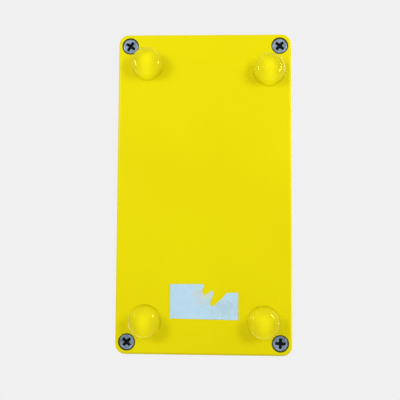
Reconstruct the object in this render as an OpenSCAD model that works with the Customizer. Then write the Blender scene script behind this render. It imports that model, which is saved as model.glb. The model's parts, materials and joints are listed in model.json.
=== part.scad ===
// Free-standing pedestrian push-button unit.
// A die-cast case stands on four clear bumper feet. A domed button in its roof presses a
// snap-action switch, and an indicator lamp beside the button is lit by a circuit board.
// Millimetres. +Z is up, the feet stand on z = 0, and the case's long side runs along Y.

/* [Case] */
// Width of the base plate and of the housing's rim
case_w = 66; // [64:0.5:90]
// Length of the base plate and of the housing's rim
case_l = 121.2; // [118:0.2:160]
// Height of the closed case, from the plate's outer face to the roof
case_h = 39.4; // [38.4:0.2:60]
// Thickness of the four walls
wall_t = 2.2; // [1.8:0.1:3]
// Thickness of the roof
roof_t = 2.2; // [1.6:0.1:3]
// Draft angle of the walls
draft = 1.5; // [0:0.1:2.5]
// Radius of the case's four corners, seen from above
corner_r = 3.8; // [3.2:0.1:6]
// Radius of the housing's top edges
roof_edge_r = 3; // [1.5:0.1:4]

/* [Base plate] */
// Thickness of the base plate
plate_t = 2.4; // [2.2:0.1:4]
// Radius of the rounded edge round the plate's outer face
plate_edge_r = 1; // [0.4:0.1:1.5]
// Height of the lip that locates the plate inside the housing
lip_h = 1.5; // [0.8:0.1:1.7]
// Thickness of the lip
lip_t = 1.2; // [0.8:0.1:2]
// Width of the rubber ring between plate and housing
gasket_w = 1; // [0.6:0.1:1.2]
// Thickness of the rubber ring
gasket_t = 0.8; // [0.5:0.1:1]
// Distance from the plate's edge to the rubber ring
gasket_inset = 0.8; // [0.5:0.1:1]

/* [Base screws] */
// Distance from the plate's long side to a screw's centre
screw_inset_x = 4.5; // [4.4:0.1:5.5]
// Distance from the plate's short side to a screw's centre
screw_inset_y = 4.6; // [4.4:0.1:5.5]
// Shank radius
screw_r = 1.75; // [1.5:0.05:2]
// Head radius
screw_head_r = 2.8; // [2.5:0.1:3.3]
// Length over head and shank
screw_l = 12.7; // [9:0.1:16]
// Depth of the head's face below the plate's face
screw_sunk = 0.25; // [0:0.05:0.3]
// Height of the straight rim of the head
screw_land = 0.1; // [0.05:0.05:0.2]
// Length of the cross recess
recess_l = 3.9; // [2.5:0.1:4.2]
// Width of its slots
recess_w = 1; // [0.5:0.1:1.2]
// Depth of its slots
recess_h = 0.8; // [0.6:0.1:1.6]
// Turn of each screw's cross recess
recess_turn = [34, 42, 45, 2]; // [0:1:89]
// Outer radius of the cast corner posts
post_r = 4.2; // [3.6:0.1:4.4]

/* [Feet] */
// Height of a foot
foot_h = 5.5; // [3:0.1:10]
// Radius of the stuck face
foot_base_r = 6.3; // [5:0.1:7]
// Radius of the face that it stands on
foot_flat_r = 3.3; // [2.5:0.1:4]
// Radius of the rounded shoulder
foot_round_r = 2.2; // [1:0.1:2.6]
// Distance of each foot, stuck on by hand, from the plate's long side
foot_inset_x = [11.2, 8.6, 11.1, 10.7]; // [8:0.1:16]
// Distance of each foot from the plate's short side
foot_inset_y = [11.7, 14.0, 12.3, 12.3]; // [11.5:0.1:20]

/* [Label] */
// Width of the paper label
label_w = 25.3; // [15:0.1:35]
// Height of its untorn side
label_h = 12.6; // [8:0.1:20]
// Thickness of the paper
label_t = 0.12; // [0.08:0.01:0.3]
// Distance from the plate's short side to the label
label_inset = 13.5; // [10:0.1:40]
// Distance of the label's middle from the plate's centre line
label_shift = -0.25; // [-3:0.05:3]

/* [Button] */
// Distance from the case's end to the button's axis
button_inset = 42.6; // [36:0.1:46]
// Travel of the button
travel = 3; // [1.5:0.1:3]
// Radius of the cap
cap_r = 24.3; // [20:0.1:26]
// Height of the cap's straight edge
cap_edge_h = 1.8; // [1:0.1:4]
// Rise of the cap's dome
cap_rise = 3.4; // [2:0.1:6]
// Thickness of the cap's shell
cap_t = 2; // [1.2:0.1:3]
// Space left under the cap when it is pressed
cap_stop = 0.5; // [0.3:0.1:1.5]
// Radius of the stem
stem_r = 4; // [3:0.1:5]
// Depth of the flat on the stem
stem_flat = 0.8; // [0.4:0.1:1]
// Radius of the spigot on the stem's top
spigot_r = 2.5; // [1.5:0.1:3]
// Length of the spigot
spigot_l = 2.4; // [1:0.1:2.6]
// Wall of the guide bush
bush_wall = 2; // [1.7:0.1:3]
// Width of the bush's flange
bush_flange_w = 1.5; // [1:0.1:3]
// Thickness of the bush's flange
bush_flange_t = 1; // [0.6:0.1:2]
// Length of the bush above its flange
bush_up = 6; // [4:0.1:8]
// Length of the bush below the barrel
bush_below = 1; // [0.5:0.1:2]
// Section radius of the seal round the stem
seal_r = 0.6; // [0.4:0.05:0.8]
// Thickness of the retaining clip
clip_t = 0.8; // [0.5:0.1:1.2]
// Width of the retaining clip
clip_w = 2.6; // [2:0.1:3.5]
// Wire radius of the return spring
spring_wire_r = 0.6; // [0.4:0.05:0.8]
// Number of turns
spring_turns = 5; // [3:1:7]

/* [Bezel] */
// Width of the raised ring round the button
ring_w = 3.4; // [2:0.1:5]
// Height of the bezel above its gasket
bezel_h = 8; // [6.5:0.1:10]
// Thickness of the well's floor
well_floor_t = 2.5; // [1.5:0.1:4]
// Length of the threaded barrel below the flange
barrel_l = 12; // [11:0.1:14]
// Wall of the barrel
barrel_wall = 3; // [2:0.1:4]
// Thickness of the barrel's floor
barrel_floor_t = 2.5; // [1.5:0.1:4]
// Thickness of the bezel's gasket
bezel_gasket_t = 1; // [0.5:0.1:2]
// Width of the ring nut
bezel_nut_w = 4; // [3:0.1:6]
// Thickness of the ring nut
bezel_nut_t = 4; // [2:0.1:6]

/* [Switch] */
// Length of the switch's body
switch_l = 19.8; // [19.2:0.1:22]
// Width of the switch's body
switch_w = 6.4; // [6.2:0.1:8]
// Height of the switch's body
switch_h = 10.2; // [8:0.1:10.6]
// Distance from the lever's pivot to the body's end
pivot_inset = 2; // [1.6:0.1:3]
// Distance from the lever's pivot to the button's axis
lever_arm = 13; // [11:0.1:14]
// Length of the lever
lever_l = 17; // [16.5:0.1:18]
// Width of the lever
lever_w = 3.9; // [3:0.1:4.2]
// Thickness of the lever
lever_t = 0.4; // [0.3:0.05:0.6]
// Slope of the lever when the button is up
lever_slope = 12; // [12:0.1:14]
// Radius of the lever's pivot pin
pin_r = 0.6; // [0.4:0.05:0.8]
// Distance from the pivot to the plunger
plunger_arm = 5.6; // [4.5:0.1:7]
// Radius of the plunger
plunger_r = 0.9; // [0.6:0.05:1.2]
// Length of the plunger
plunger_l = 4.4; // [3.5:0.1:5]
// Spacing of the two mounting holes
switch_hole_pitch = 9.5; // [8:0.1:11]
// Height of the mounting holes above the body's underside
switch_hole_h = 2.6; // [2:0.1:4]
// Radius of the mounting screws
switch_screw_r = 1; // [0.8:0.05:1.2]
// Thickness of a solder tag
tag_t = 0.5; // [0.3:0.1:0.8]
// Width of a solder tag
tag_w = 2.8; // [2:0.1:4]
// Length of a solder tag
tag_l = 3.2; // [2:0.1:3.6]
// Spacing of the solder tags
tag_pitch = 7.3; // [6:0.1:8]
// Sheet thickness of the bracket
bracket_t = 1.2; // [0.8:0.1:1.5]
// Width of the bracket's leg
bracket_leg_w = 14; // [10:0.5:20]

/* [Lamp] */
// Distance from the case's end to the lamp's axis
lamp_inset = 26.6; // [24:0.1:32]
// Radius of the lamp bezel's flange
lamp_flange_r = 10; // [9.6:0.1:12]
// Thickness of the lamp bezel's flange
lamp_flange_t = 2; // [1.5:0.1:3]
// Outer radius of the lamp bezel's barrel
lamp_r = 7.5; // [6:0.1:7.8]
// Length of the lamp bezel's barrel
lamp_barrel_l = 10; // [8:0.1:10.4]
// Wall of the lamp bezel's barrel
lamp_barrel_wall = 1.4; // [1:0.1:2]
// Width of the seat for the lens's rim
lens_rim_w = 1.1; // [0.8:0.1:1.3]
// Height of the seat for the lens's rim
lens_rim_h = 1; // [0.6:0.1:1.2]
// Rise of the lens's dome
lens_rise = 3.2; // [2:0.1:5]
// Length of the lens's stub
lens_stub_l = 4.7; // [3:0.1:6]
// Wall of the lens's stub
lens_stub_t = 1.2; // [0.8:0.1:1.8]
// Thickness of the lamp's seal
lamp_seal_t = 0.8; // [0.5:0.1:1.5]
// Width of the lamp's nut across its flats
lamp_nut_w = 19; // [18:0.5:22]
// Thickness of the lamp's nut
lamp_nut_t = 3; // [2:0.1:4]
// Radius of the light source
led_r = 2.5; // [1.5:0.1:3]
// Height of the light source above the board
led_h = 8.6; // [6:0.1:9]

/* [Circuit board] */
// Width of the board
board_w = 46; // [44:0.5:47]
// Length of the board
board_l = 44; // [40:0.5:46]
// Thickness of the board
board_t = 1.6; // [1.5:0.1:2]
// Distance from the case's end to the board
board_inset = 6.6; // [6:0.1:9]
// Distance from the roof to the board's upper face
board_drop = 9; // [8:0.1:10]
// Distance from the board's edges to its screws
board_screw_inset = 3; // [2.8:0.1:5]
// Radius of a board screw's shank
board_screw_r = 1.5; // [1:0.05:1.8]
// Length of a board screw's shank
board_screw_l = 7; // [4:0.1:8]
// Radius of a board screw's head
board_head_r = 2.75; // [2:0.05:2.9]
// Height of a board screw's head
board_head_h = 1.8; // [1.4:0.1:2.4]
// Radius of the cast bosses that carry the board
boss_r = 3.5; // [3:0.1:4.5]

/* [Cable socket] */
// Width of the socket's body
socket_w = 15; // [13:0.5:16]
// Length of the socket's body
socket_l = 29; // [28.5:0.1:32]
// Height of the socket's body
socket_h = 13; // [12.6:0.1:15]
// Radius of the nose that fills the hole in the end wall
socket_nose_r = 5.5; // [4.5:0.1:6]
// Radius of the bore for the plug
socket_bore_r = 3.2; // [3.2:0.05:3.3]
// Length of that bore
socket_bore_l = 12; // [8:0.1:15]
// Radius of the wider space behind the bore
socket_chamber_r = 3.7; // [3.5:0.1:4.5]
// Length of the wider space
socket_chamber_l = 18; // [12:0.1:20]

/* [Clearances] */
// Radial clearance of sliding and turning pieces
run_fit = 0.05; // [0.02:0.01:0.1]
// Radial clearance of pieces that are pressed or screwed together
seat_fit = 0.05; // [0.01:0.01:0.1]
// Space round pieces that pass through a hole
hole_gap = 0.3; // [0.1:0.05:0.5]
// Radial clearance of shanks and leads in drilled holes
drill_gap = 0.15; // [0.1:0.05:0.3]
// Space between the button's cap and the bezel's ring
well_gap = 0.3; // [0.2:0.05:0.6]
// Space between moving pieces that push on each other
push_gap = 0.2; // [0.1:0.05:0.3]
// Space left between the pressed lever and the switch's body
lever_gap = 0.7; // [0.4:0.1:1]

/* [Hidden] */
$fn = 48;
hull_fn = 32;
arc_steps = 8;
cut = 0.1;      // how far a cutting tool passes the face that it cuts

// Levels of the case
z_plate = foot_h;
z_rim = z_plate + plate_t;
z_top = z_plate + case_h;
z_roof = z_top - roof_t;

// Corners in the order +X+Y, -X+Y, +X-Y, -X-Y
corner_signs = [[1, 1], [-1, 1], [1, -1], [-1, -1]];
screw_places = [for (s = corner_signs)
    [s.x * (case_w / 2 - screw_inset_x), s.y * (case_l / 2 - screw_inset_y)]];
foot_places = [for (i = [0:3])
    [corner_signs[i].x * (case_w / 2 - foot_inset_x[i]),
     corner_signs[i].y * (case_l / 2 - foot_inset_y[i])]];

// Base screws
screw_z = z_plate + screw_sunk;
sink_r = screw_head_r + screw_sunk + screw_land + seat_fit;
screw_hole_spare = 2;   // depth of a tapped hole past its screw's end

// Button, from the roof upwards and then down its stem
button_y = button_inset - case_l / 2;
bush_r = stem_r + bush_wall;
spring_r = bush_r + bush_flange_w + hole_gap + 2 * spring_wire_r;
pocket_r = spring_r + spring_wire_r + 4 * hole_gap;
barrel_r = pocket_r + barrel_wall;
well_r = cap_r + well_gap;
bezel_r = well_r + ring_w;
z_bezel = z_top + bezel_gasket_t;
z_well = z_bezel + well_floor_t;
z_barrel = z_bezel - barrel_l;
z_pocket = z_barrel + barrel_floor_t;
z_cap = z_well + travel + cap_stop;
z_cap_edge = z_cap + cap_edge_h;
z_bush = z_barrel - bush_below;
z_bush_top = z_pocket + bush_flange_t + bush_up;
z_bush_d = z_pocket + bush_flange_t;        // top of the D-shaped part of the bush's bore
z_clip = z_bush - push_gap / 2 - clip_t;
z_tip_centre = z_clip;                      // centre of the stem's round tip
z_stem_d = z_bush_d + travel + hole_gap;    // top of the flat on the stem
groove_r = stem_r - stem_flat;
seal_ring_r = stem_r + run_fit + seal_r;

// Switch
z_pivot = z_tip_centre
    - (stem_r + push_gap + lever_t / 2 + lever_arm * sin(lever_slope)) / cos(lever_slope);
pivot_y = button_y - lever_arm;
lever_end_drop = lever_t / 2 + lever_l * sin(max(0, atan(travel / lever_arm) - lever_slope));
z_switch_top = z_pivot - lever_end_drop - lever_gap;
z_switch = z_switch_top - switch_h;
switch_y0 = pivot_y - pivot_inset;
switch_mid_y = switch_y0 + switch_l / 2;
z_plunger_centre = z_pivot + (plunger_arm * sin(lever_slope) - plunger_r - lever_t / 2
    - push_gap / 2) / cos(lever_slope);     // centre of the plunger's round end
ear_t = (switch_w - lever_w) / 2 - push_gap;
ear_r = 2 * pin_r;
eye_r = 1.8 * pin_r;
z_switch_hole = z_switch + switch_hole_h;
switch_hole_ys = [for (s = [-1, 1]) switch_mid_y + s * switch_hole_pitch / 2];
tag_ys = [for (i = [-1:1]) switch_mid_y + i * tag_pitch];
bezel_nut_r = barrel_r + bezel_nut_w;
leg_x = bezel_nut_r + 1;
tab_x = switch_w / 2;
tab_margin = 3;                             // metal left round the bracket's two holes
tab_h = switch_hole_h + tab_margin;         // height of the bracket's tab above the shelf
switch_head = [1.8, 1.2];                   // radius and height of a switch screw's head
switch_nut = [4, 1.6];                      // width across flats and thickness of its nut

// Lamp
lamp_y = case_l / 2 - lamp_inset;
lamp_bore_r = lamp_r - lamp_barrel_wall;
lens_rim_r = lamp_bore_r + lens_rim_w;
z_lamp = z_top + lamp_seal_t;
z_lamp_face = z_lamp + lamp_flange_t;
z_lens_seat = z_lamp_face - lens_rim_h;

// Circuit board
z_board_top = z_roof - board_drop;
z_board = z_board_top - board_t;
board_y1 = case_l / 2 - board_inset;
board_y0 = board_y1 - board_l;
board_mid_y = (board_y0 + board_y1) / 2;
board_holes = [for (s = corner_signs)
    [s.x * (board_w / 2 - board_screw_inset),
     board_mid_y + s.y * (board_l / 2 - board_screw_inset)]];
board_hole_r = board_screw_r + drill_gap;
led_lead_r = 0.25;
led_lead_xs = [-1.27, 1.27];
led_lead_l = 0.9 * board_t;

// Parts on the board, placed from the board's edges
cap_size = [4, 11];     // radius and height of the capacitor
cap_place = [-board_w / 2 + 8, board_y1 - 14];
chip_size = [6.4, 9.8, 3.3];
chip_place = [board_w / 2 - 8, board_y1 - 16];
chip_stand = 0.5;
resistor = [1.2, 6.4];  // radius and length of a resistor's body
resistor_lead_r = 0.3;
resistor_span = 10;     // distance between a resistor's two leads
resistor_places = [for (i = [0:2]) [board_w / 2 - 11, board_y0 + 9 + i * 3.5]];
header_size = [8, 6, 5];
header_wall = 0.8;
header_place = [-4, board_y0 + 6];
plug_h = 7;
plug_in = 3.5;          // depth of the plug in its header
wire_r = 0.65;
wire_pitch = 2.5;

// Cable socket
z_socket = z_board - socket_h;
socket_z = z_board - socket_h / 2;
wall_y = case_l / 2 - (socket_z + socket_nose_r - z_rim) * tan(draft);
socket_y1 = wall_y - wall_t - hole_gap;
socket_face_y = wall_y - push_gap;
socket_y0 = socket_y1 - socket_l;
socket_pins = [for (i = [0:2]) [(i - 1) * 5, socket_y0 + 6 + i * 7]];
socket_pin_r = 0.5;

// Points along an arc about centre c, from angle a0 to a1
function arc(c, r, a0, a1) =
    [for (i = [0:arc_steps]) c + r * [cos(a0 + (a1 - a0) * i / arc_steps),
                                      sin(a0 + (a1 - a0) * i / arc_steps)]];

// Outline of a dome of base radius r and rise h, from its edge at height z to the axis
function dome(r, h, z) =
    let (big = (r * r + h * h) / (2 * h), a = asin(min(1, r / big)))
    [for (i = [0:arc_steps]) let (t = a * (1 - i / arc_steps))
        [big * sin(t), z + h - big + big * cos(t)]];

// Point at t = 0..1 on the cubic curve steered by the four points of p
function bezier(p, t) =
    pow(1 - t, 3) * p[0] + 3 * t * pow(1 - t, 2) * p[1]
    + 3 * t * t * (1 - t) * p[2] + pow(t, 3) * p[3];

// Direction of that curve at t
function bezier_way(p, t) =
    let (d = pow(1 - t, 2) * (p[1] - p[0]) + 2 * t * (1 - t) * (p[2] - p[1]) + t * t * (p[3] - p[2]))
    d / norm(d);

// Closed tube through rings of points: every ring has the same number of sides
module ring_tube(rings) {
    n = len(rings);
    k = len(rings[0]);
    polyhedron(
        points = [for (ring = rings) each ring],
        faces = concat(
            [[for (j = [0:k - 1]) j]],
            [for (i = [0:n - 2], j = [0:k - 1])
                [i * k + j, (i + 1) * k + j, (i + 1) * k + (j + 1) % k, i * k + (j + 1) % k]],
            [[for (j = [0:k - 1]) (n - 1) * k + (k - 1 - j)]]),
        convexity = 8);
}

// Flat rounded rectangle, grown from exact squares and circles
module rounded_rect(w, l, r) {
    square([w - 2 * r, l], center = true);
    square([w, l - 2 * r], center = true);
    for (s = corner_signs) translate([s.x * (w / 2 - r), s.y * (l / 2 - r)]) circle(r = r);
}

// Flat frame that follows the case's outline, from one inset to another
module rim_frame(inset, width) {
    difference() {
        rounded_rect(case_w - 2 * inset, case_l - 2 * inset, corner_r - inset);
        rounded_rect(case_w - 2 * (inset + width), case_l - 2 * (inset + width),
                     max(0.3, corner_r - inset - width));
    }
}

// Drafted box with rounded top edges: inset from the housing's outer face
module case_block(inset, z_low, z_high, edge_r) {
    edge_in = inset + (edge_r + (z_high - edge_r - z_rim) * sin(draft)) / cos(draft);
    hull() {
        for (s = corner_signs) {
            translate([s.x * (case_w / 2 - corner_r), s.y * (case_l / 2 - corner_r), z_low])
                cylinder(r = corner_r - inset, h = 0.01, $fn = hull_fn);
            translate([s.x * (case_w / 2 - edge_in), s.y * (case_l / 2 - edge_in), z_high - edge_r])
                rotate_extrude($fn = hull_fn) polygon(concat([[0, 0]], arc([0, 0], edge_r, 0, 90)));
        }
    }
}

module at_all(places) {
    for (p = places) translate([p.x, p.y, 0]) children();
}

module stem_section(grow) {
    intersection() {
        circle(r = stem_r + grow);
        translate([-2 * stem_r, -2 * stem_r]) square([3 * stem_r - stem_flat + grow, 4 * stem_r]);
    }
}

module housing() color("gold") {
    difference() {
        case_block(0, z_rim, z_top, roof_edge_r);
        difference() {
            case_block(wall_t, z_rim - cut, z_roof, 1.2);
            at_all(screw_places) translate([0, 0, z_rim - 2 * cut]) cylinder(r = post_r, h = case_h);
            at_all(board_holes) translate([0, 0, z_board_top]) cylinder(r = boss_r, h = case_h);
        }
        at_all(screw_places) translate([0, 0, z_rim - cut])
            cylinder(r = screw_r + seat_fit, h = screw_z + screw_l + screw_hole_spare - z_rim + cut);
        at_all(board_holes) translate([0, 0, z_board_top - cut])
            cylinder(r = board_screw_r + seat_fit, h = board_screw_l + cut);
        translate([0, button_y, z_roof - cut]) cylinder(r = barrel_r + hole_gap, h = roof_t + 2 * cut);
        translate([0, lamp_y, z_roof - cut]) cylinder(r = lamp_r + hole_gap, h = roof_t + 2 * cut);
        translate([0, case_l / 2 + cut, socket_z]) rotate([90, 0, 0])
            cylinder(r = socket_nose_r + drill_gap, h = 3 * wall_t);
    }
}

module base_plate() color("gold") {
    difference() {
        union() {
            hull() {
                for (s = corner_signs)
                    translate([s.x * (case_w / 2 - corner_r), s.y * (case_l / 2 - corner_r), 0]) {
                        translate([0, 0, z_plate + plate_edge_r])
                            rotate_extrude($fn = hull_fn) translate([corner_r - plate_edge_r, 0])
                                circle(r = plate_edge_r, $fn = hull_fn);
                        translate([0, 0, z_rim - 0.01])
                            cylinder(r = corner_r, h = 0.01, $fn = hull_fn);
                    }
            }
            translate([0, 0, z_rim - cut]) linear_extrude(lip_h + cut)
                difference() {
                    rim_frame(wall_t + hole_gap, lip_t);
                    for (p = screw_places) translate(p) circle(r = post_r + hole_gap);
                }
        }
        translate([0, 0, z_rim - gasket_t]) linear_extrude(gasket_t + cut)
            rim_frame(gasket_inset, gasket_w);
        at_all(screw_places) {
            translate([0, 0, z_plate - cut]) cylinder(r = screw_r + drill_gap, h = plate_t + 2 * cut);
            translate([0, 0, z_plate - cut]) cylinder(r1 = sink_r + cut, r2 = 0, h = sink_r + cut);
        }
    }
}

module lid_gasket() color("dimgray")
    translate([0, 0, z_rim - gasket_t]) linear_extrude(gasket_t) rim_frame(gasket_inset, gasket_w);

module base_screws() color("lightslategray") {
    for (i = [0:3])
        translate([screw_places[i].x, screw_places[i].y, screw_z]) difference() {
            union() {
                cylinder(r = screw_head_r, h = screw_land);
                translate([0, 0, screw_land])
                    cylinder(r1 = screw_head_r, r2 = screw_r, h = screw_head_r - screw_r);
                cylinder(r = screw_r, h = screw_l);
            }
            for (turn = [0, 90]) rotate([0, 0, recess_turn[i] + turn])
                translate([-recess_l / 2, -recess_w / 2, -cut]) cube([recess_l, recess_w, recess_h + cut]);
        }
}

// Clear bumper: a flat to stand on, a rounded shoulder and a slightly tapered side
module foot(i) color("khaki", 0.5) {
    shoulder = foot_flat_r + foot_round_r;
    translate([foot_places[i].x, foot_places[i].y, 0]) rotate_extrude()
        polygon(concat(
            [[0, 0]],
            arc([foot_flat_r, foot_round_r], foot_round_r, -90, 0),
            [[shoulder, foot_round_r], [foot_base_r, foot_h], [0, foot_h]]));
}

// Torn outline, seen from below with the plate's long side upright
module paper_label() color("aliceblue") {
    torn = [
        [0, 0], [label_w, -0.4], [label_w, label_h - 2.9], [label_w - 4.1, label_h - 2.9],
        [20, label_h - 3.4], [18.8, label_h - 4.8], [17.2, label_h - 5.7], [16.6, label_h - 6.8],
        [15.4, label_h - 7.7], [14.1, label_h - 7.5], [14.3, label_h - 5.1], [15.3, label_h - 3.7],
        [13.6, label_h - 2.5], [12.1, label_h - 1.5], [12.6, label_h - 0.5], [11.8, label_h + 0.1],
        [0, label_h]
    ];
    translate([label_shift, label_inset - case_l / 2, z_plate - label_t])
        mirror([1, 0, 0]) translate([-label_w / 2, 0, 0]) linear_extrude(label_t) polygon(torn);
}

// Ring, well and barrel in one: the profile runs round the wall's section
module bezel() color("dimgray") {
    z_ring = z_bezel + bezel_h;
    round_r = 1.2;
    translate([0, button_y, 0]) rotate_extrude() polygon(concat(
        [[bush_r + seat_fit, z_barrel], [barrel_r, z_barrel], [barrel_r, z_bezel], [bezel_r, z_bezel]],
        arc([bezel_r - round_r, z_ring - round_r], round_r, 0, 90),
        [[well_r, z_ring], [well_r, z_well], [pocket_r, z_well], [pocket_r, z_pocket],
         [bush_r + seat_fit, z_pocket]]));
}

module bezel_gasket() color("black")
    translate([0, button_y, z_top]) linear_extrude(bezel_gasket_t)
        difference() {
            circle(r = bezel_r - 1);
            circle(r = barrel_r + hole_gap);
        }

// Ring nut with four spanner slots
module bezel_nut() color("silver") {
    slot = [3, 2];
    translate([0, button_y, z_roof - bracket_t - bezel_nut_t]) difference() {
        cylinder(r = bezel_nut_r, h = bezel_nut_t);
        translate([0, 0, -cut]) cylinder(r = barrel_r + seat_fit, h = bezel_nut_t + 2 * cut);
        for (turn = [45:90:315]) rotate([0, 0, turn])
            translate([bezel_nut_r - slot.y, -slot.x / 2, -cut])
                cube([2 * slot.y, slot.x, bezel_nut_t + 2 * cut]);
    }
}

// Domed shell with a flat seat for the spring and a blind hole for the spigot
module button_cap() color("silver") {
    seat_r = spring_r + 2 * spring_wire_r + hole_gap;
    inner_r = cap_r - cap_t;
    hole_h = spigot_l + hole_gap;
    inner = [for (p = dome(inner_r, cap_rise, z_cap + cap_edge_h - cap_t)) if (p.x > seat_r) p];
    translate([0, button_y, 0]) rotate_extrude() polygon(concat(
        [[0, z_cap + hole_h], [spigot_r + seat_fit, z_cap + hole_h], [spigot_r + seat_fit, z_cap],
         [seat_r, z_cap]],
        [for (i = [len(inner) - 1:-1:0]) inner[i].x < seat_r + cut ? [seat_r, inner[i].y] : inner[i]],
        [[inner_r, z_cap], [cap_r, z_cap]],
        dome(cap_r, cap_rise, z_cap_edge)));
}

// D-shaped below, round above, with a groove for the clip and a round tip
module button_stem() color("lightgray") {
    translate([0, button_y, 0]) {
        translate([0, 0, z_stem_d]) cylinder(r = stem_r, h = z_cap - z_stem_d);
        translate([0, 0, z_cap - cut]) cylinder(r = spigot_r, h = spigot_l + cut);
        translate([0, 0, z_clip + clip_t]) linear_extrude(z_stem_d - z_clip - clip_t) stem_section(0);
        translate([0, 0, z_clip - cut]) cylinder(r = groove_r, h = clip_t + 2 * cut);
        intersection() {
            translate([0, 0, z_tip_centre]) sphere(r = stem_r);
            translate([0, 0, z_tip_centre - stem_r]) linear_extrude(stem_r) stem_section(0);
        }
    }
}

module stem_clip() color("slategray") {
    outer_r = groove_r + clip_w;
    translate([0, button_y, z_clip]) linear_extrude(clip_t) difference() {
        circle(r = outer_r);
        circle(r = groove_r + seat_fit);
        translate([0, -groove_r]) square([2 * outer_r, 2 * groove_r]);
    }
}

module stem_bush() color("sandybrown") {
    seal_pocket = 2 * seal_r + cut;
    translate([0, button_y, 0]) difference() {
        union() {
            translate([0, 0, z_bush]) cylinder(r = bush_r, h = z_bush_top - z_bush);
            translate([0, 0, z_pocket]) cylinder(r = bush_r + bush_flange_w, h = bush_flange_t);
        }
        translate([0, 0, z_bush - cut]) linear_extrude(z_bush_d - z_bush + cut) stem_section(run_fit);
        translate([0, 0, z_bush_d - cut])
            cylinder(r = stem_r + run_fit, h = z_bush_top - z_bush_d + 2 * cut);
        translate([0, 0, z_bush_top - seal_pocket])
            cylinder(r = seal_ring_r + seal_r + seat_fit, h = seal_pocket + cut);
    }
}

module stem_seal() color("black")
    translate([0, button_y, z_bush_top - cut - seal_r])
        rotate_extrude() translate([seal_ring_r, 0]) circle(r = seal_r);

// Coil whose first and last turns lie flat on their seats
module return_spring() color("gray") {
    sides = 8;
    steps = spring_turns * 14;
    z0 = z_pocket + spring_wire_r;
    z1 = z_cap - spring_wire_r;
    end_climb = 1.8 * spring_wire_r;    // climb of the first and of the last turn
    translate([0, button_y, 0]) ring_tube([for (i = [0:steps])
        let (turn = spring_turns * i / steps,
             rise = min(1, max(0, (turn - 1) / (spring_turns - 2))),
             a = 360 * turn,
             z = z0 + end_climb * (min(1, turn) + max(0, turn - spring_turns + 1))
                 + (z1 - z0 - 2 * end_climb) * rise)
        [for (j = [0:sides - 1]) let (b = 360 * (j + 0.5) / sides)
            [(spring_r + spring_wire_r * cos(b)) * cos(a),
             (spring_r + spring_wire_r * cos(b)) * sin(a),
             z + spring_wire_r * sin(b)]]]);
}

// Sheet clamped under the roof, a leg past the nut, a shelf and a tab for the switch
module switch_bracket() color("lightsteelblue") {
    plate_r = bezel_nut_r - 1;
    z_shelf = z_switch - bracket_t;
    tab_l = switch_hole_pitch + 2 * tab_margin;
    difference() {
        union() {
            translate([-plate_r, button_y - plate_r, z_roof - bracket_t])
                cube([plate_r + leg_x + bracket_t, 2 * plate_r, bracket_t]);
            translate([leg_x, button_y - bracket_leg_w / 2, z_shelf])
                cube([bracket_t, bracket_leg_w, z_roof - z_shelf]);
            translate([tab_x, button_y - bracket_leg_w / 2, z_shelf])
                cube([leg_x + bracket_t - tab_x, bracket_leg_w, bracket_t]);
            translate([tab_x, switch_mid_y - tab_l / 2, z_shelf])
                cube([bracket_t, tab_l, tab_h + bracket_t]);
        }
        translate([0, button_y, z_roof - bracket_t - cut])
            cylinder(r = barrel_r + hole_gap, h = bracket_t + 2 * cut);
        for (y = switch_hole_ys) translate([tab_x - cut, y, z_switch_hole]) rotate([0, 90, 0])
            cylinder(r = switch_screw_r + seat_fit, h = bracket_t + 2 * cut);
    }
}

module switch_body() color("darkslategray") {
    difference() {
        union() {
            translate([-switch_w / 2, switch_y0, z_switch])
                cube([switch_w, switch_l, switch_h]);
            for (s = [-1, 1]) translate([s * (switch_w - ear_t) / 2, pivot_y, 0]) {
                translate([-ear_t / 2, -ear_r, z_switch_top - cut])
                    cube([ear_t, 2 * ear_r, z_pivot - z_switch_top + cut]);
                translate([-ear_t / 2, 0, z_pivot]) rotate([0, 90, 0]) cylinder(r = ear_r, h = ear_t);
            }
        }
        translate([-switch_w, pivot_y, z_pivot]) rotate([0, 90, 0])
            cylinder(r = pin_r + seat_fit, h = 2 * switch_w);
        translate([0, pivot_y + plunger_arm, z_plunger_centre - plunger_l - travel])
            cylinder(r = plunger_r + run_fit, h = switch_h);
        for (y = switch_hole_ys) translate([-switch_w, y, z_switch_hole]) rotate([0, 90, 0])
            cylinder(r = switch_screw_r + seat_fit, h = 2 * switch_w);
    }
}

// Flat blade from a rolled eye, sloping up over the plunger to the button's stem
module switch_lever() color("silver") {
    translate([0, pivot_y, z_pivot]) rotate([lever_slope, 0, 0]) difference() {
        union() {
            translate([-lever_w / 2, 0, -lever_t / 2])
                cube([lever_w, lever_l, lever_t]);
            translate([-lever_w / 2, 0, 0]) rotate([0, 90, 0])
                cylinder(r = eye_r, h = lever_w);
        }
        translate([-lever_w, 0, 0]) rotate([0, 90, 0])
            cylinder(r = pin_r + run_fit, h = 2 * lever_w);
    }
}

module lever_pin() color("gray")
    translate([-switch_w / 2, pivot_y, z_pivot]) rotate([0, 90, 0])
        cylinder(r = pin_r, h = switch_w);

module switch_plunger() color("firebrick")
    translate([0, pivot_y + plunger_arm, z_plunger_centre]) {
        sphere(r = plunger_r);
        translate([0, 0, -plunger_l]) cylinder(r = plunger_r, h = plunger_l);
    }

module switch_terminals() color("goldenrod")
    for (y = tag_ys)
        translate([-tag_t / 2, y - tag_w / 2, z_switch - tag_l]) difference() {
            cube([tag_t, tag_w, tag_l]);
            translate([-cut, tag_w / 2, 1.1]) rotate([0, 90, 0])
                cylinder(r = 0.6, h = tag_t + 2 * cut);
        }

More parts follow.
